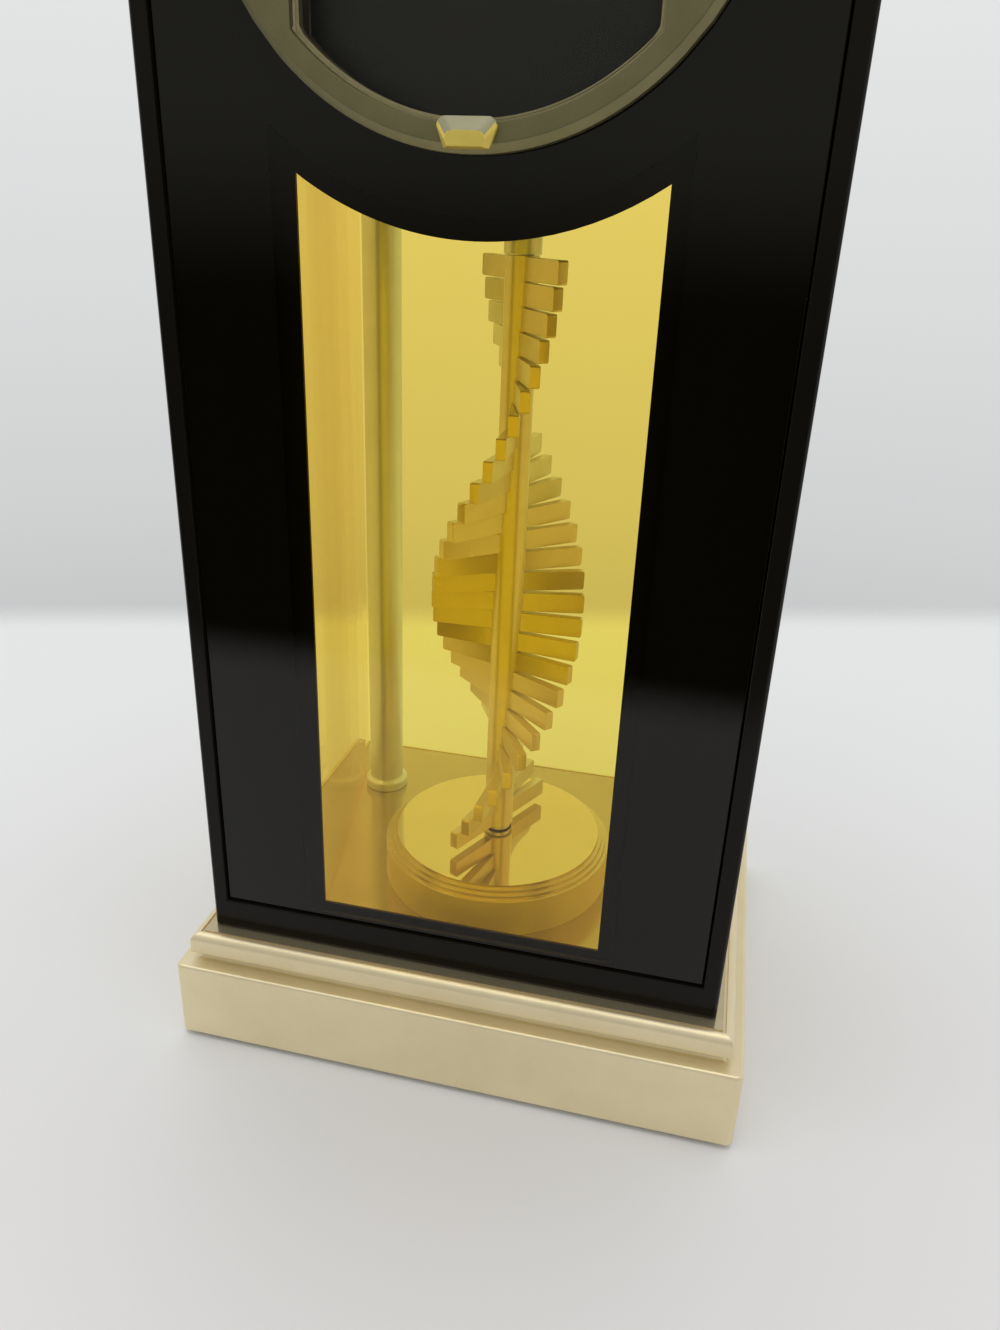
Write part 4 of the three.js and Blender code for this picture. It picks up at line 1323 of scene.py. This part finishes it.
@dataclass
class Rear:
    """The upper housing with its rear cover, battery bay, movement and setting knob."""

    cover_back: float = 14.5
    screw_x: float = 44.5
    screw_heights: tuple[float, float] = (185.5, 259.5)
    screw_radius: float = 2.3
    screw_height: float = 1.3
    screw_turn: float = 17.0
    crown_share: float = 0.8
    crown_end: float = 82.0
    crown_flat: float = 0.02
    cross_length: float = 2.6
    cross_width: float = 0.55
    cross_depth: float = 0.7
    cross_reach: float = 2.0
    cross_edge: float = 0.04
    knob_height: float = 197.3
    knob_radius: float = 7.0
    knob_front: float = 14.8
    knob_back: float = 19.8
    knob_ribs: int = 18
    rib_depth: float = 0.5
    rib_steps: int = 12
    rim_front: float = 0.25
    rim_back: tuple[Point, ...] = ((0.5, 0.0), (0.14, 0.16), (0.0, 0.55))
    stem_radius: float = 2.0
    stem_front: float = -21.3
    stem_grip: float = 1.0
    dimple_floor: float = 2.6
    dimple_mouth: float = 3.2
    dimple_depth: float = 0.5
    cell_radius: float = 7.1
    cell_length: float = 49.2
    sleeve_edge: float = 0.5
    sleeve_lap: float = 1.0
    cell_foot: tuple[Point, ...] = ((1.6, 0.0), (1.2, 0.15))
    end_ring: tuple[Point, ...] = ((1.1, 0.0), (1.3, 0.2))
    end_zone: float = 0.25
    button_radius: float = 2.7
    button_length: float = 1.3
    button_foot: float = 0.2
    button_lap: float = 0.4
    button_edge: float = 0.3
    wall_edge: float = 0.3
    cover_edge: float = 0.2

    def build(self, workshop: Workshop) -> None:
        """Makes screws, knob and cells, and dresses the rest."""
        finish, slot = BLACK_PLASTIC, Slot.BLACK_PLASTIC
        workshop.ease("housing", "housing_enamelled", BLACK_GLOSS, Slot.BLACK_GLOSS, self.wall_edge)
        workshop.ease("rear_cover", "rear_cover_moulded", finish, slot, self.cover_edge)
        workshop.ease("battery_cover", "battery_cover_moulded", finish, slot, self.cover_edge)
        workshop.ease("movement", "movement_case", GREY_PLASTIC, Slot.GREY_PLASTIC, self.cover_edge)
        workshop.dress("battery_tray", finish)
        workshop.place("set_knob_ribbed", self.knob(), [finish], Body.KNOB, slot, ["set_knob"])
        self.screws(workshop)
        self.cell(workshop, "battery_1", 1)
        self.cell(workshop, "battery_2", -1)

    def screws(self, workshop: Workshop) -> None:
        """Makes the four cross-head screws of the rear cover."""
        places = [(x, z) for x in (-self.screw_x, self.screw_x) for z in self.screw_heights]
        for number, (x, z) in enumerate(places, start=1):
            draft = self.screw(x, z, self.screw_turn * number)
            workshop.place(f"rear_screw_{number}", draft, [SCREW_STEEL], Body.CASE, Slot.STEEL)

    def screw(self, x: float, z: float, turn: float) -> Draft:
        """Draws one pan-head screw.

        Args:
            x: Its place across.
            z: Its height.
            turn: How far its cross is turned, in degrees.

        Returns:
            The screw.
        """
        radius, height = self.screw_radius, self.screw_height
        bend = height * self.crown_share
        crown = arc((radius - bend, height - bend), bend, 0, self.crown_end, 6)
        profile = [(radius, 0.0), *crown, (self.crown_flat, height)]
        head = Draft().turned(profile, Axis.BACKWARDS, (x, self.cover_back, z), steps=40)
        half, width = self.cross_length / 2, self.cross_width / 2
        slit = [(-half, -width), (half, -width), (half, width), (-half, width)]
        floor = self.cover_back + height - self.cross_depth
        ends = (floor, floor + self.cross_reach)
        for angle in (turn, turn + 90):
            c, s = math.cos(math.radians(angle)), math.sin(math.radians(angle))
            levels = [[(x + u * c - v * s, y, z + u * s + v * c) for u, v in slit] for y in ends]
            head = head.combined(Draft().loft(levels), "DIFFERENCE")
        return head.softened(self.cross_edge, above=35.0, segments=1)

    def knob(self) -> Draft:
        """Draws the ribbed knob with its stem."""
        levels = [(self.knob_front, self.rim_front), (self.knob_front + self.rim_front, 0.0)]
        levels += [(self.knob_back - depth, inset) for depth, inset in self.rim_back]
        steps = self.knob_ribs * self.rib_steps
        sections = []
        for depth, inset in levels:
            section = []
            for step in range(steps):
                angle = 2 * math.pi * step / steps
                dip = self.rib_depth * (0.5 - 0.5 * math.cos(self.knob_ribs * angle)) ** 2
                radius = self.knob_radius - dip - inset
                across, up = radius * math.cos(angle), radius * math.sin(angle)
                section.append((across, depth, self.knob_height + up))
            sections.append(section)
        middle = (0.0, 0.0, self.knob_height)
        stem = [(self.stem_radius, self.stem_front), (self.stem_radius, self.knob_front + self.stem_grip)]
        dimple = [
            (self.dimple_floor, self.knob_back - self.dimple_depth),
            (self.dimple_mouth, self.knob_back + self.dimple_depth),
        ]
        spine = Draft().turned(stem, Axis.BACKWARDS, middle, steps=32)
        hollow = Draft().turned(dimple, Axis.BACKWARDS, middle)
        return Draft().loft(sections).combined(spine, "UNION").combined(hollow, "DIFFERENCE")

    def cell(self, workshop: Workshop, name: str, direction: int) -> None:
        """Makes one cell in its sleeve.

        Args:
            workshop: Where the piece is placed.
            name: The CAD node it stands for.
            direction: 1 if its button points to the right, or -1.
        """
        low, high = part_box(name)
        centre = tuple((low + high) / 2 / MM)
        half = (self.cell_length + self.button_length) / 2
        end = half - self.button_length
        radius, edge, tip = self.cell_radius, self.sleeve_edge, self.button_edge
        profile = [
            *((radius - inset, depth - half) for inset, depth in self.cell_foot),
            *arc((radius - edge, -half + edge), edge, 270, 360, 4),
            *arc((radius - edge, end - edge), edge, 0, 90, 4),
            *((radius - inset, end - depth) for inset, depth in self.end_ring),
            (self.button_radius + self.button_foot, end - self.button_foot),
            (self.button_radius, end),
            *arc((self.button_radius - tip, half - tip), tip, 0, 90, 3),
        ]
        placed = [(r, direction * h) for r, h in profile]

        def number(face_radius: float, face_height: float) -> int:
            """The material number of a face: sleeve, bare metal or end ring."""
            height = direction * face_height
            bare = face_radius < radius - self.sleeve_lap
            if height > end - self.end_zone and bare:
                on_button = face_radius < self.button_radius + self.button_lap
                return CellFace.METAL if on_button else CellFace.END_RING
            return CellFace.METAL if height < -end and bare else CellFace.SLEEVE

        draft = Draft().turned(placed, Axis.SIDEWAYS, centre, steps=56, material=number)
        finishes = [SLEEVE, STEEL, WASHER]
        workshop.place(f"{name}_sleeved", draft, finishes, Body.CASE, Slot.CELL_SLEEVE, [name])


@dataclass
class Chamber:
    """What stands in the display chamber beside the helix: pillars, side panes and pedestal."""

    pillar_x: float = 38.3
    pillar_y: float = 25.7
    pillar_high: float = 178.0
    pillar_radius: float = 4.4
    pillar_fillet: float = 0.5
    flange_radius: float = 5.6
    flange_height: float = 2.6
    flange_round: float = 0.7
    flange_edge: float = 0.2
    pedestal_radius: float = 26.5
    pedestal_top: float = 37.4
    pedestal_edge: float = 0.13
    rim_margin: float = 0.05
    stair_margin: float = 0.1
    step_width: float = 0.9
    step_height: float = 0.8
    step_count: int = 3
    bore_radius: float = 3.0
    bore_floor: float = 28.5

    def build(self, workshop: Workshop) -> None:
        """Makes the pillars and the pedestal, and dresses the rest."""
        for side, name in ((-1, "left"), (1, "right")):
            draft, replaced = self.pillar(side), [f"pillar_{name}"]
            workshop.place(f"pillar_{name}_turned", draft, [SILVER], Body.CASE, Slot.SILVER, replaced)
            workshop.dress(f"side_pane_{name}", BRONZE)
        # The pedestal's side takes the pale gold, whose colour is painted light.
        pedestal, finishes = self.pedestal(), [MIRROR_GOLD, TURNED_GOLD, LIT_DRUM_GOLD]
        workshop.place("pedestal_turned", pedestal, finishes, Body.CASE, Slot.POLISHED_GOLD, ["pedestal"])
        workshop.dress("lower_bush", STEEL)

    def pillar(self, side: int) -> Draft:
        """Draws one pillar with a rounded flange at each end."""
        bend, fillet = self.flange_round, self.pillar_fillet
        rim, bead = self.flange_radius - bend, self.flange_height - bend
        flange = [
            (self.flange_radius - self.flange_edge, 0.0),
            (self.flange_radius, self.flange_edge),
            *arc((rim, bead), bend, 0, 90, 6),
            *arc((self.pillar_radius + fillet, self.flange_height + fillet), fillet, 270, 180, 4),
        ]
        lower = [(radius, FLOOR_HEIGHT + height) for radius, height in flange]
        upper = [(radius, self.pillar_high - height) for radius, height in reversed(flange)]
        centre = (side * self.pillar_x, self.pillar_y, 0.0)
        return Draft().turned([*lower, *upper], Axis.UP, centre, steps=56)

    def pedestal(self) -> Draft:
        """Draws the pedestal: straight side, a stair of fine steps, flat top and blind bore."""
        profile: list[Point] = [(self.pedestal_radius, FLOOR_HEIGHT)]
        for step in range(self.step_count + 1):
            radius = self.pedestal_radius - step * self.step_width
            high = self.pedestal_top - (self.step_count - step) * self.step_height
            if step > 0:
                profile.append((radius, high - self.step_height))
            profile.append((radius, high))
        profile += [(self.bore_radius, self.pedestal_top), (self.bore_radius, self.bore_floor)]
        rim = self.pedestal_radius - self.step_count * self.step_width - self.rim_margin
        stair = self.pedestal_top - self.step_count * self.step_height - self.stair_margin

        def number(radius: float, height: float) -> int:
            """The material number of a face: top and bore, stair or side."""
            if radius < rim:
                return PedestalFace.TOP
            return PedestalFace.STAIR if height > stair else PedestalFace.SIDE

        draft = Draft().turned(profile, Axis.UP, (0.0, HELIX_AXIS_Y, 0.0), steps=120, material=number)
        return draft.softened(self.pedestal_edge, above=20.0)


@dataclass
class Helix:
    """The stack of blades on their spindle, and the motor above it."""

    count: int = 28
    top: float = 163.4
    stack_height: float = 124.4
    half_length: float = 16.4
    width: float = 2.0
    space: float = 0.3
    tip_round: float = 0.5
    hub_radius: float = 3.3
    hub_space: float = 0.01
    hub_margin: float = 0.01
    bore_radius: float = 1.8
    first_angle: float = 128.0
    first_step: float = 2.0
    full_step: float = 10.6
    ramp: int = 10
    edge: float = 0.12
    spindle_radius: float = 1.5
    spindle_space: float = 0.1
    collar_radius: float = 2.8
    collar_low: float = 37.7
    collar_edge: float = 0.2
    head_radius: float = 3.6
    head_high: float = 187.2
    head_edge: float = 0.25
    foot: float = 28.8
    foot_edge: float = 0.3

    @property
    def pitch(self) -> float:
        """The height that each blade takes in the stack."""
        return self.stack_height / self.count

    def build(self, workshop: Workshop) -> None:
        """Makes the blades and the spindle, and dresses the motor."""
        plate = self.plate()
        for index in range(self.count):
            number = f"{index + 1:02d}"
            height = self.top - (index + 0.5) * self.pitch
            turn = Matrix.Rotation(math.radians(self.turn(index)), 4, "Z")
            lift = Matrix.Translation((0.0, HELIX_AXIS_Y, height))
            draft = plate.copy().moved(lift @ turn)
            replaced = [f"helix_plate_{number}"]
            finishes = [BLADE_GOLD, HUB_GOLD]
            workshop.place(f"blade_{number}", draft, finishes, Body.HELIX, Slot.POLISHED_GOLD, replaced)
        workshop.place("spindle_turned", self.spindle(), [SILVER], Body.HELIX, Slot.SILVER, ["spindle"])
        workshop.dress("drive_motor", STEEL)

    def turn(self, index: int) -> float:
        """How far a blade is turned in degrees, counted from the top, where the steps ease in."""
        eased = min(index, self.ramp)
        gain = (self.full_step - self.first_step) / (2 * self.ramp)
        slow = self.first_step * eased + gain * eased**2
        return self.first_angle - slow - self.full_step * (index - eased)

    def plate(self) -> Draft:
        """Draws one blade across its hub, with its middle at the origin."""
        high = (self.pitch - self.space) / 2
        across, up, bend = self.half_length - self.tip_round, high - self.tip_round, self.tip_round
        outline: list[Point] = []
        for quarter, (x, z) in enumerate(((1, 1), (-1, 1), (-1, -1), (1, -1))):
            outline += arc((x * across, z * up), bend, quarter * 90, quarter * 90 + 90, 5)
        blade = Draft().loft([[(x, y, z) for x, z in outline] for y in (-self.width / 2, self.width / 2)])
        blade = blade.softened(self.edge, above=30.0)
        hub_high = (self.pitch - self.hub_space) / 2
        hub = Draft().turned([(self.hub_radius, -hub_high), (self.hub_radius, hub_high)])
        bore = Draft().turned([(self.bore_radius, -self.pitch), (self.bore_radius, self.pitch)], steps=32)
        draft = blade.combined(hub, "UNION").combined(bore, "DIFFERENCE")
        reach = self.hub_radius + self.hub_margin
        for face in draft.mesh.faces:
            on_hub = all(vertex.co.xy.length < reach for vertex in face.verts)
            face.material_index = BladeFace.HUB if on_hub else BladeFace.BLADE
        return draft

    def spindle(self) -> Draft:
        """Draws the spindle with its collar below the blades and its thick head above them."""
        thin, thick, head = self.spindle_radius, self.collar_radius, self.head_radius
        collar_high = self.top - self.stack_height - self.spindle_space
        head_low = self.top + self.spindle_space
        profile = [
            (thin - self.foot_edge, self.foot),
            (thin, self.foot + self.foot_edge),
            (thin, self.collar_low),
            (thick - self.collar_edge, self.collar_low),
            (thick, self.collar_low + self.collar_edge),
            (thick, collar_high - self.collar_edge),
            (thick - self.collar_edge, collar_high),
            (thin, collar_high),
            (thin, head_low),
            (head - self.head_edge, head_low),
            (head, head_low + self.head_edge),
            (head, self.head_high - self.head_edge),
            (head - self.head_edge, self.head_high),
        ]
        return Draft().turned(profile, Axis.UP, (0.0, HELIX_AXIS_Y, 0.0))


@dataclass
class Studio:
    """The pale table, the soft light, the wall that glass and metal show, and the camera."""

    table_reach: float = 1.3
    table_front: float = -0.265
    table_back: float = 0.247
    table_turn: float = 18.7
    front_fade: float = 0.05
    back_fade: float = 0.036
    tone_rise: Point = (-0.22, 0.1)
    mottle_size: float = 40.0
    mottle_strength: float = 0.3
    roughness: float = 0.5
    roughness_spread: float = 0.1
    shine: float = 0.2
    lamp_size: float = 1.3
    lamp_energy: float = 8.5
    lamp_colour: Colour = (1.0, 0.985, 0.965)
    lamp_place: Place = (-0.1, 0.05, 1.5)
    lamp_aim: Place = (0.0, 0.0, 0.12)
    ambient: Colour = (0.72, 0.72, 0.7272)
    room_low: Colour = (0.015, 0.015, 0.016)
    room_high: Colour = (0.46, 0.46, 0.42)
    room_rise: Point = (-0.08, 0.1)
    room_front: Point = (0.15, 0.6)
    ceiling: Colour = (0.6, 0.6, 0.59)
    ceiling_rise: Point = (0.35, 0.85)
    glass_warmth: Place = (1.07, 1.0, 1.02)
    camera_place: Place = (0.0418375, -0.2021265, 0.1686370)
    camera_turn: Place = (66.0717764, -2.1265969, 13.2335865)
    camera_lens: float = 26.90524
    camera_sensor: float = 36.0
    camera_near: float = 0.01
    table_colour: Colour = from_screen(229, 232, 232)
    table_near_colour: Colour = from_screen(231, 230, 231)
    wall_tint: Place = (-1.0, 0.0, 0.5)
    # The wall's level by elevation in degrees, darker low down towards the table: painted shade.
    wall_stops: tuple[Point, ...] = (
        (-20.0, 200.0),
        (-14.5, 209.0),
        (-9.0, 214.0),
        (-3.7, 219.0),
        (4.5, 225.0),
        (10.0, 229.0),
    )

    def build(self) -> None:
        """Sets table, lamp, world and camera."""
        self.table()
        self.lamp()
        self.world()
        self.camera()
        bpy.context.scene.view_settings.view_transform = "Standard"

    def table(self) -> None:
        """Makes the table top, which fades out at its front and back."""
        mesh = bmesh.new()
        bmesh.ops.create_grid(mesh, x_segments=2, y_segments=2, size=self.table_reach)
        data = bpy.data.meshes.new("table_top")
        mesh.to_mesh(data)
        mesh.free()
        table = bpy.data.objects.new("table_top", data)
        bpy.context.scene.collection.objects.link(table)
        material = bpy.data.materials.new("pale_table")
        material.use_nodes = True
        shader = Shader(material.node_tree)
        place = shader.position()
        turn = math.radians(self.table_turn)
        away = (-math.sin(turn), math.cos(turn), 0.0)
        settings = {"operation": "DOT_PRODUCT"}
        far = shader.node("ShaderNodeVectorMath", settings, {0: place, 1: away}, "Value")
        mottle = shader.noise(place, self.mottle_size, detail=4.0)
        tone = shader.blend(far.smooth(*self.tone_rise), self.table_near_colour, self.table_colour)
        inputs = {
            "Base Color": shader.blend(mottle * self.mottle_strength, tone, self.table_near_colour),
            "Roughness": self.roughness + mottle * self.roughness_spread,
            "Specular IOR Level": self.shine,
        }
        top = shader.node("ShaderNodeBsdfPrincipled", {}, inputs)
        along = shader.node("ShaderNodeSeparateXYZ", {}, {0: place}, "Y")
        front = along.smooth(self.table_front, self.table_front + self.front_fade)
        back = 1 - far.smooth(self.table_back - self.back_fade, self.table_back)
        clear = shader.node("ShaderNodeBsdfTransparent")
        faded = shader.mix_surfaces(front * back, clear, top)
        shader.add("ShaderNodeOutputMaterial", {}, {"Surface": faded})
        data.materials.append(material)

    def lamp(self) -> None:
        """Hangs one large soft lamp over the table."""
        data = bpy.data.lights.new("ceiling_panel", "AREA")
        data.shape = "SQUARE"
        data.size = self.lamp_size
        data.energy = self.lamp_energy
        data.color = self.lamp_colour
        lamp = bpy.data.objects.new("ceiling_panel", data)
        lamp.location = self.lamp_place
        aim = Vector(self.lamp_aim) - Vector(self.lamp_place)
        lamp.rotation_euler = aim.to_track_quat("-Z", "Y").to_euler()
        bpy.context.scene.collection.objects.link(lamp)

    def world(self) -> None:
        """Draws the wall behind, and the darker room and bright ceiling that only mirrors show."""
        world = bpy.data.worlds.new("plain_room")
        world.use_nodes = True
        bpy.context.scene.world = world
        shader = Shader(world.node_tree)
        direction = shader.node("ShaderNodeTexCoord", output="Generated")
        up = shader.node("ShaderNodeSeparateXYZ", {}, {0: direction}, "Z")
        along = shader.node("ShaderNodeSeparateXYZ", {}, {0: direction}, "Y")
        stops = []
        for angle, level in self.wall_stops:
            colour = from_screen(*(level + part for part in self.wall_tint))
            stops.append(((math.sin(math.radians(angle)) + 1) / 2, colour))
        wall = shader.node("ShaderNodeValToRGB", {"stops": stops}, {0: up * 0.5 + 0.5})
        dim = shader.blend(up.smooth(*self.room_rise), self.room_low, self.room_high)
        room = shader.blend((0 - along).smooth(*self.room_front), wall, dim)
        mirrored = shader.blend(up.smooth(*self.ceiling_rise), room, self.ceiling)
        mirrors = shader.light_path("Is Glossy Ray") * (1 - shader.light_path("Is Transmission Ray"))
        inputs = {0: wall, 1: self.glass_warmth}
        warm = shader.node("ShaderNodeVectorMath", {"operation": "MULTIPLY"}, inputs)
        seen = shader.blend(shader.light_path("Is Transmission Ray"), wall, warm)
        seen = shader.blend(mirrors, seen, mirrored)
        seen = shader.blend(shader.light_path("Is Diffuse Ray"), seen, self.ambient)
        glow = shader.node("ShaderNodeBackground", {}, {"Color": seen, "Strength": 1.0})
        shader.add("ShaderNodeOutputWorld", {}, {"Surface": glow})

    def camera(self) -> None:
        """Sets the camera where the photograph was taken from."""
        data = bpy.data.cameras.new("photo_view")
        data.sensor_width = self.camera_sensor
        data.lens = self.camera_lens
        data.clip_start = self.camera_near
        camera = bpy.data.objects.new("photo_view", data)
        camera.location = self.camera_place
        camera.rotation_euler = tuple(math.radians(angle) for angle in self.camera_turn)
        bpy.context.scene.collection.objects.link(camera)
        bpy.context.scene.camera = camera


def main() -> None:
    """Builds the clock on its frame."""
    logging.basicConfig(level=logging.INFO, format="%(name)s: %(message)s")
    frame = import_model()
    workshop = Workshop(frame)
    for part in (Mouldings(), Front(), Dial(), Rear(), Chamber(), Helix()):
        LOG.info("building %s", type(part).__name__)
        part.build(workshop)
    Studio().build()


if __name__ == "__main__":
    main()
